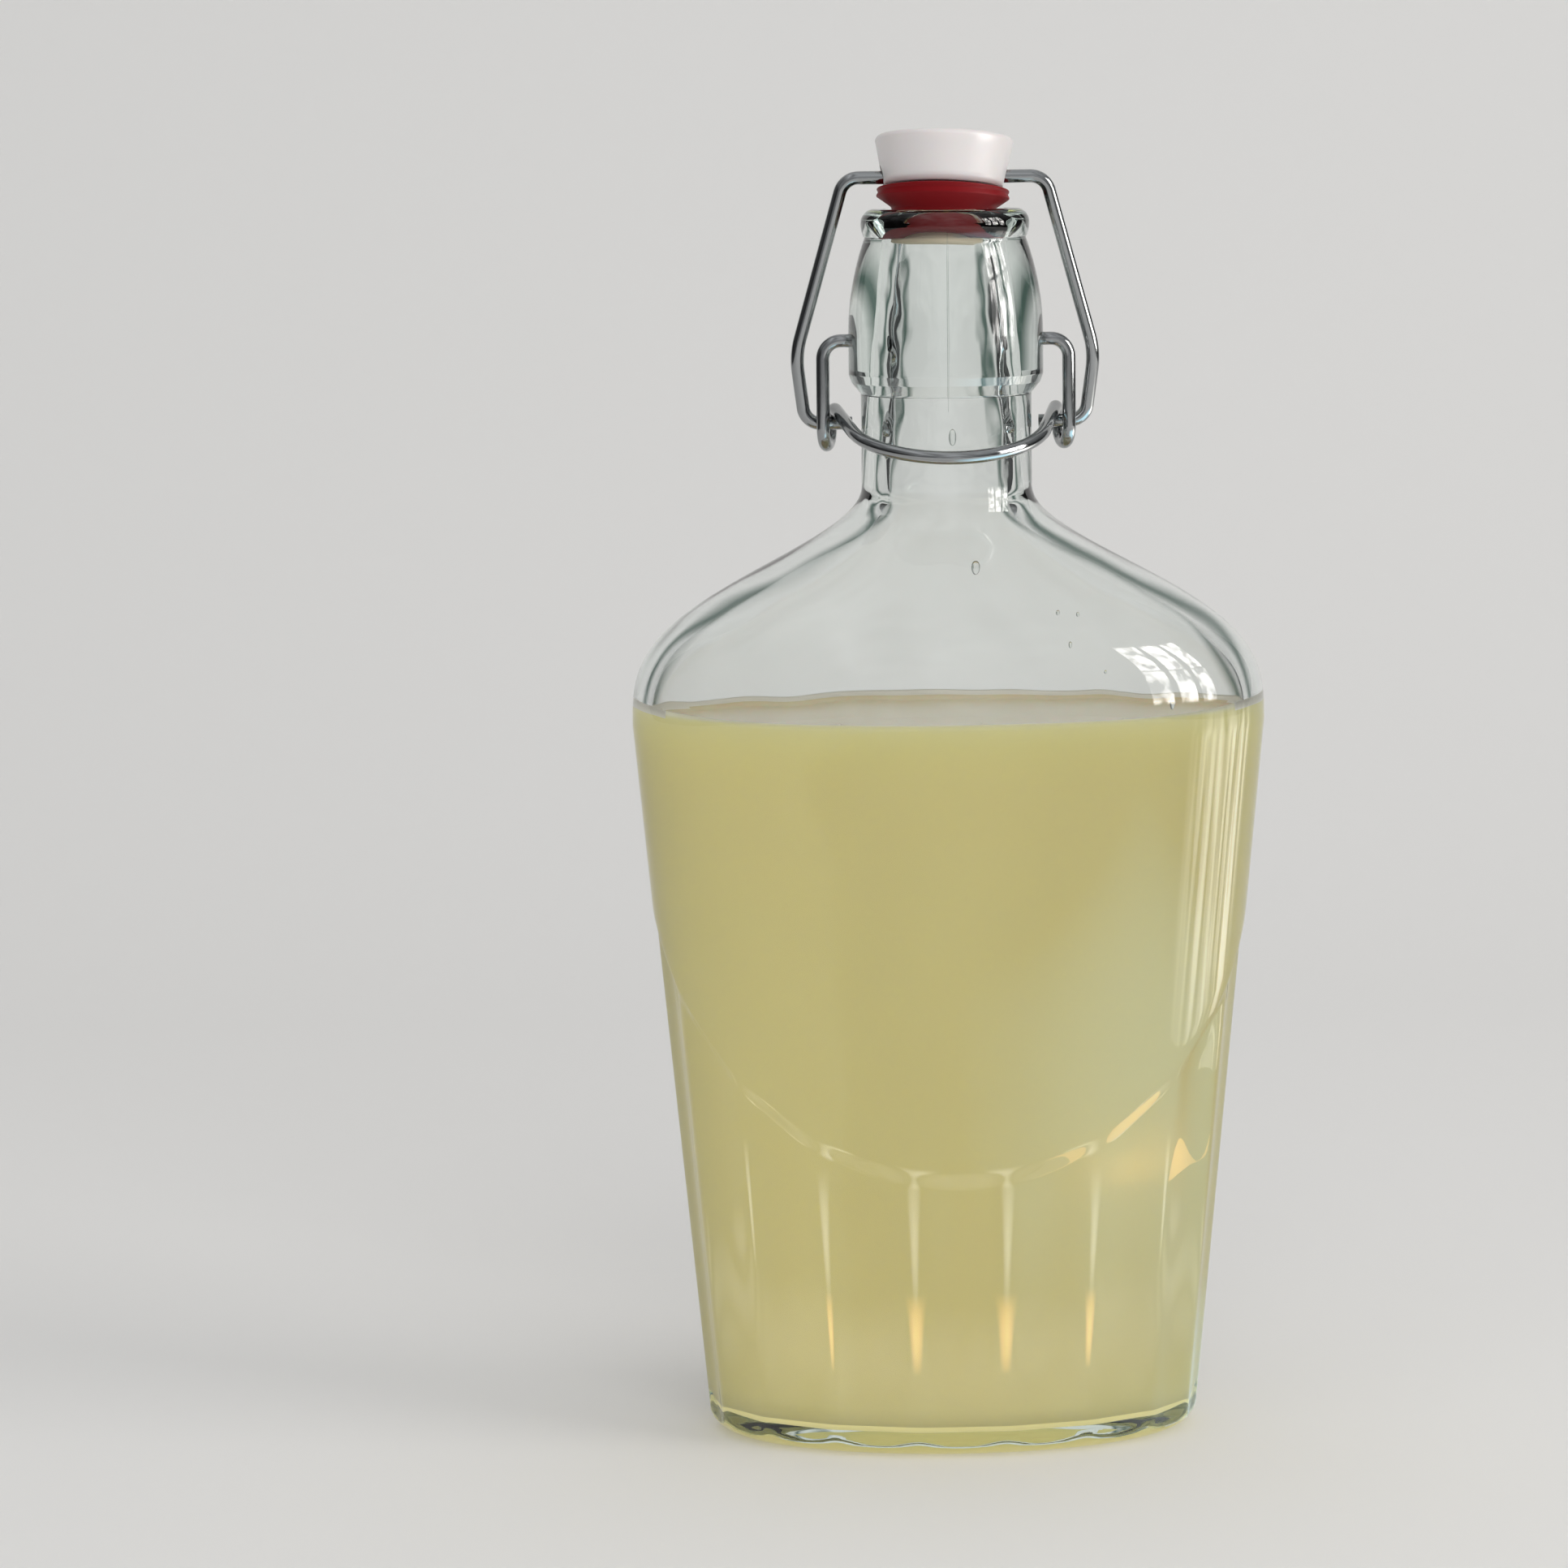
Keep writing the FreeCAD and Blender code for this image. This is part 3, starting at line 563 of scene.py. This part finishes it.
def inner_point(angle, height, inset=0.0, grow=0.0):
    """Inside wall; grow moves it into the glass."""
    axes = inner_axes(height)
    place = on_oval((axes[0] - inset + grow, axes[1] - inset + grow), angle, height)
    sway = WAVER * waver_at(place, WAVER_SCALE)
    if height > RIPPLE_START:
        share = min(1, (height - RIPPLE_START) / RIPPLE_FADE)
        sway += RIPPLE * share * waver_at(place, RIPPLE_SCALE)
    outward = Vector((math.cos(angle), math.sin(angle), 0))
    return place + outward * sway


# %% [markdown]
# ## The neck finish
# Collar, barrel, lip and mouth are round, so they need only one outline of radius and height. A helper
# rounds its corners with short arcs, because real glass has no sharp edge and a sharp one would not catch
# the light.


# %% Outline of the neck finish
def rounded_outline(corners, steps=6):
    """Points along a run of corners (radius, height, bend), each corner rounded by its bend."""
    points = []
    spots = [Vector((corner[0], corner[1])) for corner in corners]
    for number, spot in enumerate(spots):
        bend = corners[number][2] if len(corners[number]) > 2 else 0
        if bend == 0 or number in (0, len(spots) - 1):
            points.append(spot)
            continue
        arriving = (spot - spots[number - 1]).normalized()
        leaving = (spots[number + 1] - spot).normalized()
        half_turn = arriving.angle(leaving) / 2
        inset = bend * math.tan(half_turn)
        start = spot - arriving * inset
        end = spot + leaving * inset
        for step in range(steps + 1):
            share = step / steps
            points.append(start * (1 - share) ** 2 + spot * (2 * share * (1 - share)) + end * share ** 2)
    return points


def arc_points(start, end, radius, steps):
    """Arc that leaves start upright and bends towards the axis, or ends upright where radius is negative."""
    points = []
    for step in range(1, steps + 1):
        share = step / steps
        height = start.y + (end.y - start.y) * share
        if radius > 0:
            across = start.x - radius + math.sqrt(radius ** 2 - (height - start.y) ** 2)
        else:
            across = end.x + radius + math.sqrt(radius ** 2 - (end.y - height) ** 2)
        points.append(Vector((across, height)))
    return points


FINISH_START = COLLAR_BOTTOM - 1.5
BARREL_RADIUS = 16.2
BARREL_START = 185.5
THROAT = Vector((13.4, 201.5))
LIP_RADIUS = 14.0
LIP_TOP = 206.3
LIP_ROUND = 2.3
LIP_SWELL = Vector((LIP_RADIUS, 203.8))
LIP_STEPS = 10
MOUTH_ROUND = 1.5

barrel_drop = BARREL_RADIUS - THROAT.x
barrel_bend = (barrel_drop ** 2 + (THROAT.y - BARREL_START) ** 2) / (2 * barrel_drop)
swell = LIP_RADIUS - THROAT.x
swell_bend = (swell ** 2 + (LIP_SWELL.y - THROAT.y) ** 2) / (2 * swell)
finish_outline = rounded_outline([
    (NECK_RADIUS, FINISH_START),
    (NECK_RADIUS, COLLAR_BOTTOM + 0.6, 0.7),
    (BARREL_RADIUS - 0.5, COLLAR_BOTTOM + 2.4, 0.5),
    (BARREL_RADIUS, COLLAR_BOTTOM + 3.8, 0.6),
    (BARREL_RADIUS, BARREL_START - 3),
    (BARREL_RADIUS, BARREL_START),
])
finish_outline += arc_points(finish_outline[-1], THROAT, barrel_bend, 22)
finish_outline += arc_points(THROAT, LIP_SWELL, -swell_bend, 8)
for step in range(LIP_STEPS + 1):
    angle = math.pi / 2 * step / LIP_STEPS
    finish_outline.append(Vector((
        LIP_RADIUS - LIP_ROUND * (1 - math.cos(angle)),
        LIP_TOP - LIP_ROUND * (1 - math.sin(angle)),
    )))
finish_outline += rounded_outline([
    (BORE_RADIUS + 1.7, LIP_TOP),
    (BORE_RADIUS, LIP_TOP, MOUTH_ROUND),
    (BORE_RADIUS, LIP_TOP - 2.4),
])
print(f"neck finish: {len(finish_outline)} points")

# %% [markdown]
# ## Bending the grid
# The rows run from the middle of the base, out over the standing ring, up the outside, over the lip and
# down the inside to the middle of the hollow's floor. Bent round and merged along its seam, the grid is
# one closed skin with an inside and an outside, which is what a refracting material needs.

# %% Rows of the glass
COLUMNS = FACET_COUNT * 16
CROWDING = 0.65
SIDE_TOP = SHOULDER_HEIGHT - 2
SMILE_BAND = 1.2 * SMILE_SOFTNESS


def span(start, end, count):
    """Even steps from start to end, both included."""
    return [start + (end - start) * step / count for step in range(count + 1)]


def rows_of(rule, values):
    """One row for each value, where rule gives a point from an angle and the value."""
    return [lambda angle, value=value: rule(angle, value) for value in values]


ring_axes = [half - HEEL_RADIUS - STANDING_RING for half in BASE_HALF]
foot_axes = [half - HEEL_RADIUS for half in BASE_HALF]
quarter = [math.pi / 2 * share for share in span(0, 1, 8)]
smile_steps = span(-SMILE_BAND, SMILE_BAND, 8)


def dome_row(angle, share):
    return on_oval([axis * share for axis in ring_axes], angle, PUSH_UP * (1 - share ** 2))


def ring_row(angle, height):
    return on_oval(foot_axes, angle, height)


def heel_row(angle, bend):
    return outer_point(angle, HEEL_RADIUS * (1 - math.cos(bend)), HEEL_RADIUS * (1 - math.sin(bend)))


def foot_row(angle, share):
    top = smile_height(angle) + smile_steps[0]
    return outer_point(angle, HEEL_RADIUS + (top - HEEL_RADIUS) * share)


def smile_row(angle, step):
    return outer_point(angle, smile_height(angle) + step)


def side_row(angle, share):
    low = smile_height(angle) + smile_steps[-1]
    return outer_point(angle, low + (SIDE_TOP - low) * share)


def finish_row(angle, spot):
    return on_oval((spot.x, spot.x), angle, spot.y)


def cavity_heel_row(angle, bend):
    return inner_point(
        angle,
        BASE_THICKNESS + CAVITY_HEEL * (1 - math.cos(bend)),
        CAVITY_HEEL * (1 - math.sin(bend)),
    )


def cavity_floor_row(angle, share):
    axes = [axis - CAVITY_HEEL for axis in inner_axes(BASE_THICKNESS)]
    return on_oval([axis * share for axis in axes], angle, BASE_THICKNESS)


glass_rows = [
    *rows_of(dome_row, span(0, 1, 8)),
    *rows_of(ring_row, [0]),
    *rows_of(heel_row, quarter[1:]),
    *rows_of(foot_row, span(0, 1, 14)[1:]),
    *rows_of(smile_row, smile_steps[1:]),
    *rows_of(side_row, span(0, 1, 14)[1:]),
    *rows_of(outer_point, span(SIDE_TOP, NECK_HEIGHT, 44)[1:]),
    *rows_of(outer_point, span(NECK_HEIGHT, FINISH_START, 6)[1:-1]),
    *rows_of(finish_row, finish_outline),
    *rows_of(inner_point, span(LIP_TOP - 4, BORE_FOOT + 1, 26)),
    *rows_of(inner_point, span(BORE_FOOT, INNER_NECK, 4)),
    *rows_of(inner_point, span(INNER_NECK, INNER_SHOULDER, 44)[1:]),
    *rows_of(inner_point, span(INNER_SHOULDER, BASE_THICKNESS + CAVITY_HEEL, 22)[1:]),
    *rows_of(cavity_heel_row, quarter[-2::-1]),
    *rows_of(cavity_floor_row, span(1, 0, 5)[1:]),
]
print(f"glass: {len(glass_rows)} rows of {COLUMNS}")

# %% [markdown]
# A skin could be faced by hand, one quad after another. Here one grid is created with as many rows and
# columns as the rules need, and each vertex moves to the place that its row and column give. The columns
# crowd together at the ridges, where the glass turns fast. Bottle glass is clear with a green tint that
# grows with its thickness, so the material refracts and its volume absorbs a little.


# %% Glass skin
def column_angle(column, columns):
    """Angle of a column, with the columns crowded together at the ridges."""
    share = FACET_COUNT * column / columns
    return FACET_TURN * (share - CROWDING * math.sin(2 * math.pi * share) / (2 * math.pi))


def bent_grid(row_rules, columns):
    """Grid whose rows follow the rules round the axis, closed along its seam and at its poles."""
    form = bmesh.new()
    bmesh.ops.create_grid(form, x_segments=columns, y_segments=len(row_rules) - 1, size=1)
    for vertex in form.verts:
        column = round((vertex.co.x + 1) / 2 * columns) % columns
        row = round((vertex.co.y + 1) / 2 * (len(row_rules) - 1))
        vertex.co = row_rules[row](column_angle(column, columns)) * MM
    bmesh.ops.remove_doubles(form, verts=form.verts, dist=1e-6)
    bmesh.ops.dissolve_degenerate(form, edges=form.edges, dist=1e-7)
    bmesh.ops.recalc_face_normals(form, faces=form.faces)
    return form


clear_glass = start_material(
    "clear_glass", Base_Color=(0.985, 0.995, 0.99, 1), Roughness=0.0, IOR=1.5, Transmission_Weight=1.0)
absorption = add_node(clear_glass, "ShaderNodeVolumeAbsorption", Color=(0.78, 0.91, 0.85, 1), Density=18.0)
glass_output = clear_glass.node_tree.nodes["Material Output"]
clear_glass.node_tree.links.new(absorption.outputs["Volume"], glass_output.inputs["Volume"])

glass = make_piece("glass_skin", bent_grid(glass_rows, COLUMNS), [clear_glass], "bottle")
glass.visible_shadow = False
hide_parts("glass_bottle")

# %% [markdown]
# ## Glints on the foot
# Light catches on the ridges of the foot and along the smile. Those glints could be painted on, but then
# they would not move with the camera. So the direction that each place mirrors is worked out from the
# oval and the camera, and glowing cards stand there. What the ridges mirror lies low in front of the
# bottle: warm cards low down and white ones higher.

# %% Cards for the ridges
FOOT_LEVEL = 20.0
WALL_TILT = math.radians(3)
UPWARDS = Vector((0, 0, 1))
WARM_WIDTHS = {220: 0, 240: 0.008, 260: 0.016, 280: 0.017, 300: 0.012, 320: 0}
WARM_LENGTH = 0.032
WARM_REACH = 0.029
WARM_LIFT = 0.011
PALE_SIZE = (0.014, 0.052)
PALE_REACH = 0.039
PALE_REACH_ALONE = 0.054
PALE_LIFT = 0.0245
FOOT_MIDDLE = Vector((0, 0, 0.03))
to_camera = (camera_place - FOOT_MIDDLE).normalized()


def facing_at(degrees, level, tilt):
    """Point on the foot at an angle of the oval, and the way the glass faces there."""
    angle = math.radians(degrees)
    axes = outer_axes(level)
    level_way = Vector((math.cos(angle) / axes[0], math.sin(angle) / axes[1], 0)).normalized()
    return on_oval(axes, angle, level) * MM, level_way * math.cos(tilt) - UPWARDS * math.sin(tilt)


def mirror_way(facing):
    """Way that a line from the camera goes on after a mirror with this facing."""
    return (facing * (2 * facing.dot(to_camera)) - to_camera).normalized()


ridge_warm = glow("ridge_warm", WARM, 11.0, 1.0)
ridge_pale = glow("ridge_pale", WHITE, 4.5, 1.0)
for degrees, warm_width in WARM_WIDTHS.items():
    spot, facing = facing_at(degrees, FOOT_LEVEL, WALL_TILT)
    outward = mirror_way(facing)
    outward = (outward - UPWARDS * outward.z).normalized()
    inward_down = (-outward - UPWARDS).normalized()
    foot = Vector((spot.x, spot.y, 0))
    if warm_width:
        low = facing_along(foot + outward * WARM_REACH + UPWARDS * WARM_LIFT, inward_down)
        glow_card(f"warm_card_{degrees}", low, warm_width, WARM_LENGTH, ridge_warm)
    reach = PALE_REACH if warm_width else PALE_REACH_ALONE
    high = facing_along(foot + outward * reach + UPWARDS * PALE_LIFT, inward_down)
    glow_card(f"pale_card_{degrees}", high, *PALE_SIZE, ridge_pale)

# %% [markdown]
# The step along the smile faces down more steeply and mirrors the floor close by. One wide card there
# would show in the facets too, so small pale cards lie one beside the other. The right end of the smile
# has a warm lamp that only mirrors can see, turned so that the facets look at its dark back.

# %% Cards for the smile
STEP_TILT = math.radians(22)
STEP_ANGLES = range(206, 335, 8)
STEP_SIZE = (0.064, 0.030)
STEP_SHIFT = 0.008
WARM_END = 308
WARM_END_REACH = 0.030
WARM_END_SIZE = (0.040, 0.044)
WARM_END_RADIANCE = 4.0
TURNED_FROM_FACETS = 1.15


def smile_facing(degrees):
    return facing_at(degrees, smile_height(math.radians(degrees)), STEP_TILT)


step_pale = glow("step_pale", WHITE, 0.95, 1.0)
for degrees in STEP_ANGLES:
    spot, facing = smile_facing(degrees)
    seen = mirror_way(facing)
    away = Vector((facing.x, facing.y, 0)).normalized()
    on_floor = spot - seen * (spot.z / seen.z) + away * STEP_SHIFT + UPWARDS * MM
    lying = Matrix.Rotation(math.atan2(away.y, away.x), 4, "Z") @ TURNED_OVER
    glow_card(f"step_pale_{degrees}", Matrix.Translation(on_floor) @ lying, *STEP_SIZE, step_pale)

spot, facing = smile_facing(WARM_END)
seen = mirror_way(facing)
flat_seen = mirror_way(facing_at(WARM_END, FOOT_LEVEL, WALL_TILT)[1])
lamp_way = (flat_seen * (TURNED_FROM_FACETS * seen.dot(flat_seen)) - seen).normalized()
lamp_matrix = facing_along(spot + seen * WARM_END_REACH, lamp_way)
area_lamp("warm_end", lamp_matrix, *WARM_END_SIZE, WARM_END_RADIANCE, WARM, ALL_BUT_GLOSSY)

# %% [markdown]
# ## The drink
# The bottle is filled to its shoulder with a hazy drink. It is the hollow's own shape, grown a little
# into the glass so that no film of air is left between them, with a surface that climbs the wall in a
# small lip. Haze scatters light inside, so its material is a subsurface one, and only the free surface is
# glossy. Its underside gets the light that comes down through the haze, for which a little glow stands
# in, and light that enters on the right comes out on the left, for which a lamp stands in that shines on
# nothing but the drink.

# %% Drink
DRINK_LEVEL = 123.1
DRINK_GROW = 0.12
DRINK_WALL_TOP = INNER_SHOULDER - 4
DRINK_COLUMNS = FACET_COUNT * 10
CLIMB_LEAST = 0.4
CLIMB_MORE = 1.5
CLIMB_ROUGHNESS = 0.5
CLIMB_REACH = 0.9
SURFACE_INSETS = (0.15, 0.35, 0.7, 1.2, 1.8, 2.6, 3.8, 5.0)
SURFACE_EDGE = 6


def climb_height(angle):
    """Height of the wet lip on the wall: least in front, most at the ends and behind."""
    behind = max(0, math.sin(angle))
    ends = abs(math.cos(angle)) ** 6
    uneven = noise.noise(Vector((4 * math.cos(angle), 4 * math.sin(angle), 3)))
    more = CLIMB_MORE * behind + CLIMB_MORE * ends
    return CLIMB_LEAST + more + CLIMB_ROUGHNESS * uneven * max(behind, ends)


def drink_floor(angle, share):
    axes = [axis - CAVITY_HEEL + DRINK_GROW for axis in inner_axes(BASE_THICKNESS)]
    return on_oval([axis * share for axis in axes], angle, BASE_THICKNESS - DRINK_GROW)


def drink_heel(angle, bend):
    return inner_point(
        angle,
        BASE_THICKNESS + CAVITY_HEEL * (1 - math.cos(bend)) - DRINK_GROW * math.cos(bend),
        CAVITY_HEEL * (1 - math.sin(bend)),
        DRINK_GROW * math.sin(bend),
    )


def drink_wall(angle, height):
    return inner_point(angle, height, 0, DRINK_GROW)


def drink_lip(angle, share):
    top = DRINK_LEVEL + climb_height(angle)
    return drink_wall(angle, DRINK_WALL_TOP + (top - DRINK_WALL_TOP) * share)


def drink_surface(angle, inset):
    rise = climb_height(angle) * math.exp(-inset / CLIMB_REACH)
    return inner_point(angle, DRINK_LEVEL + rise, inset, DRINK_GROW)


def drink_top(angle, share):
    axes = [axis - SURFACE_EDGE for axis in inner_axes(DRINK_LEVEL)]
    return on_oval([axis * share for axis in axes], angle, DRINK_LEVEL)


drink_rows = [
    *rows_of(drink_floor, span(0, 1, 5)),
    *rows_of(drink_heel, quarter[1:]),
    *rows_of(drink_wall, span(BASE_THICKNESS + CAVITY_HEEL, DRINK_WALL_TOP, 20)[1:]),
    *rows_of(drink_lip, span(0, 1, 8)[1:]),
    *rows_of(drink_surface, SURFACE_INSETS),
    *rows_of(drink_top, span(1, 0, 6)),
]
print(f"drink: {len(drink_rows)} rows of {DRINK_COLUMNS}")

# %% Finishes of the drink
DRINK_COLOUR = (0.72, 0.645, 0.305, 1)
HAZE = {
    "Base_Color": DRINK_COLOUR,
    "Roughness": 0.5,
    "Specular_IOR_Level": 0.0,
    "Subsurface_Weight": 0.8,
    "Subsurface_Scale": 0.025,
    "Subsurface_Radius": (1.0, 0.95, 0.6),
}
hazy_drink = start_material("hazy_drink", **HAZE)
drink_face = start_material(
    "drink_surface", Base_Color=(0.66, 0.57, 0.37, 1), Roughness=0.16, IOR=1.33, Specular_IOR_Level=0.2,
    Subsurface_Weight=0.4, Subsurface_Scale=0.01)
drink_floor_glow = start_material(
    "drink_floor_glow", **HAZE, Emission_Color=DRINK_COLOUR, Emission_Strength=0.42)
# Paler colour for the wet lip that climbs the wall behind the surface: a painted highlight along the
# meniscus.
painted_meniscus_highlight = start_material("painted_meniscus_highlight", Base_Color=(0.82, 0.78, 0.68, 1), Roughness=0.4)

# %% Drink in the bottle
FACE_SLOT, FLOOR_SLOT, PAINTED_HIGHLIGHT_SLOT = 1, 2, 3
FACE_SLOPE = 0.3
FACE_LOWEST = DRINK_LEVEL - 0.5
PAINTED_HIGHLIGHT_LOWEST = DRINK_LEVEL + 0.7
PAINTED_HIGHLIGHT_FRONT = -12.0
FLOOR_HIGHEST = BASE_THICKNESS + 0.3 * CAVITY_HEEL

drink_finishes = [hazy_drink, drink_face, drink_floor_glow, painted_meniscus_highlight]
drink = make_piece("drink", bent_grid(drink_rows, DRINK_COLUMNS), drink_finishes, "bottle")
for polygon in drink.data.polygons:
    if polygon.normal.z > FACE_SLOPE and polygon.center.z > FACE_LOWEST * MM:
        polygon.material_index = FACE_SLOT
    # The climbing lip behind the front of the surface gets the painted meniscus highlight.
    if polygon.center.y > PAINTED_HIGHLIGHT_FRONT * MM and polygon.center.z > PAINTED_HIGHLIGHT_LOWEST * MM:
        polygon.material_index = PAINTED_HIGHLIGHT_SLOT
    if polygon.center.z < FLOOR_HIGHEST * MM:
        polygon.material_index = FLOOR_SLOT

drink_only = bpy.data.collections.new("drink_only")
drink_only.objects.link(drink)
drink_fill.light_linking.receiver_collection = drink_only

# %% [markdown]
# A few drops cling to the inside above the drink, one of them at the end of a long run down the neck, and
# small bubbles sit where the surface meets the front wall. They could be swellings of the drink, but
# loose spheres, stretched and set on the inner wall, leave its rows even. A drop is given by its place
# across, its height and its half width and half height, and a bubble by its place across and its radius.

# %% Drops and bubbles
DROPS = (
    (0.4, 169.0, 0.55, 1.4), (-0.1, 189.0, 0.13, 16.0), (3.6, 147.0, 0.7, 1.2), (16.6, 139.8, 0.35, 0.4),
    (19.8, 139.4, 0.3, 0.35), (18.4, 135.2, 0.3, 0.5), (35.2, 125.5, 0.5, 1.0), (24.0, 131.0, 0.25, 0.3),
)
BUBBLES = (
    (-40, 0.3), (-33, 0.2), (-19, 0.35), (-18, 0.2), (-7, 0.22), (4, 0.35), (13, 0.2), (27, 0.35), (36, 0.25),
)
BUBBLE_LEVEL = DRINK_LEVEL + 0.3
DROP_INSET = 0.3
DROP_FLATNESS = 0.6

floating = tuple((across, BUBBLE_LEVEL, radius, radius) for across, radius in BUBBLES)
drop_form = bmesh.new()
for across, height, half_width, half_height in DROPS + floating:
    angle = -math.acos(across / inner_axes(height)[0])
    matrix = (
        Matrix.Translation(inner_point(angle, height, half_width * DROP_INSET) * MM)
        @ Matrix.Rotation(angle, 4, "Z")
        @ Matrix.Diagonal((half_width * DROP_FLATNESS, half_width, half_height, 1))
    )
    bmesh.ops.create_uvsphere(drop_form, u_segments=16, v_segments=10, radius=MM, matrix=matrix)
clear_drop = start_material(
    "clear_drop", Base_Color=(0.97, 0.98, 0.97, 1), Roughness=0.0, IOR=1.33, Transmission_Weight=1.0)
drops = make_piece("drops", drop_form, [clear_drop], "bottle")
drops.visible_shadow = False

# %% [markdown]
# ## Wires, stopper and gasket
# Drawn wire is bright metal, the cap is white with a soft gloss and lets a little light in, and the
# rubber is dull and deep red. Each finish could be one flat value, but a fine noise on its roughness
# keeps the highlights from looking printed. The button under the gasket is a warmer white than the cap.

# %% Finishes of the closure
steel = start_material("drawn_steel", Base_Color=(0.33, 0.34, 0.345, 1), Metallic=1.0)
speckle_gloss(steel, 900, 0.07, 0.15)
white_cap = start_material(
    "white_cap", Base_Color=(0.76, 0.72, 0.71, 1), IOR=1.5, Coat_Weight=0.25, Coat_Roughness=0.08,
    Subsurface_Weight=0.15, Subsurface_Scale=0.002)
speckle_gloss(white_cap, 260, 0.28, 0.40)
red_rubber = start_material(
    "red_rubber", Base_Color=(0.18, 0.0015, 0.004, 1), IOR=1.5, Specular_IOR_Level=0.15)
speckle_gloss(red_rubber, 500, 0.38, 0.55)
cream_button = start_material("cream_button", Base_Color=(0.80, 0.68, 0.50, 1), Roughness=0.4)

# %% [markdown]
# The solids of the wires and the stopper already have the right shape, but a frame mesh is loose
# triangles. A copy with its corners merged shades smoothly, and keeps an edge wherever two faces meet at
# a clear angle.

# %% Wires and stopper
EDGE_ANGLE = math.radians(34)
BUTTON_TOP = 202.5
BUTTON_SLOT = 1


def smooth_copy(node, name, body, material):
    """Smooth-shaded copy of a node's mesh that stands for it."""
    form = bmesh.new()
    form.from_mesh(frame["nodes"][node].data)
    bmesh.ops.remove_doubles(form, verts=form.verts, dist=2e-6)
    for face in form.faces:
        face.material_index = 0
    piece = make_piece(name, form, [material], body)
    piece.data.set_sharp_from_angle(angle=EDGE_ANGLE)
    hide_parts(node)
    return piece


smooth_copy("lever_wire", "lever", "lever", steel)
smooth_copy("bail_wire", "bail", "bail", steel)
stopper = smooth_copy("stopper", "stopper_cap", "closure", white_cap)
stopper.data.materials.append(cream_button)
for polygon in stopper.data.polygons:
    if polygon.center.z < BUTTON_TOP * MM:
        polygon.material_index = BUTTON_SLOT

# %% [markdown]
# The gasket is soft, and its skirt hangs a little lower in front than the solid's does. Its outline is
# bent round the stopper's own axis, which leans back and tilts to the right about the crossbar.

# %% Gasket
CROSSBAR = Vector((-0.2, 0, 211.45))
LEAN = math.radians(-8.5)
TILT = math.radians(2.2)
STEM_RADIUS = 4.9
RIM_RADIUS = 11.1
GASKET_BOTTOM = -9.5
GASKET_TOP = -1.6
GASKET_COLUMNS = FACET_COUNT * 6
GASKET_EDGE_ANGLE = math.radians(50)
CORNER_STEPS = 4
resting = Matrix.Rotation(LEAN, 4, "X") @ Matrix.Rotation(TILT, 4, "Y")


def gasket_outline(sag):
    """Radius and height from the crossbar, from the stem round the outside and back."""
    return rounded_outline([
        (STEM_RADIUS, GASKET_BOTTOM),
        (7.3, GASKET_BOTTOM, 0.5),
        (8.1 + 0.9 * sag, -4.3 - 1.9 * sag, 0.6),
        (RIM_RADIUS, -3.1 - 0.7 * sag, 0.25),
        (RIM_RADIUS - 0.35, -2.6 - 0.35 * sag, 0.3),
        (RIM_RADIUS, -2.2, 0.25),
        (8.0, GASKET_TOP),
        (STEM_RADIUS, GASKET_TOP),
        (STEM_RADIUS, GASKET_BOTTOM),
    ], CORNER_STEPS)


def gasket_row(angle, number):
    spot = gasket_outline((1 - math.sin(angle)) / 2)[number]
    return CROSSBAR + (resting @ on_oval((spot.x, spot.x), angle, spot.y))


gasket_rows = rows_of(gasket_row, range(len(gasket_outline(0))))
gasket = make_piece("gasket_ring", bent_grid(gasket_rows, GASKET_COLUMNS), [red_rubber], "closure")
gasket.data.set_sharp_from_angle(angle=GASKET_EDGE_ANGLE)
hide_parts("gasket")
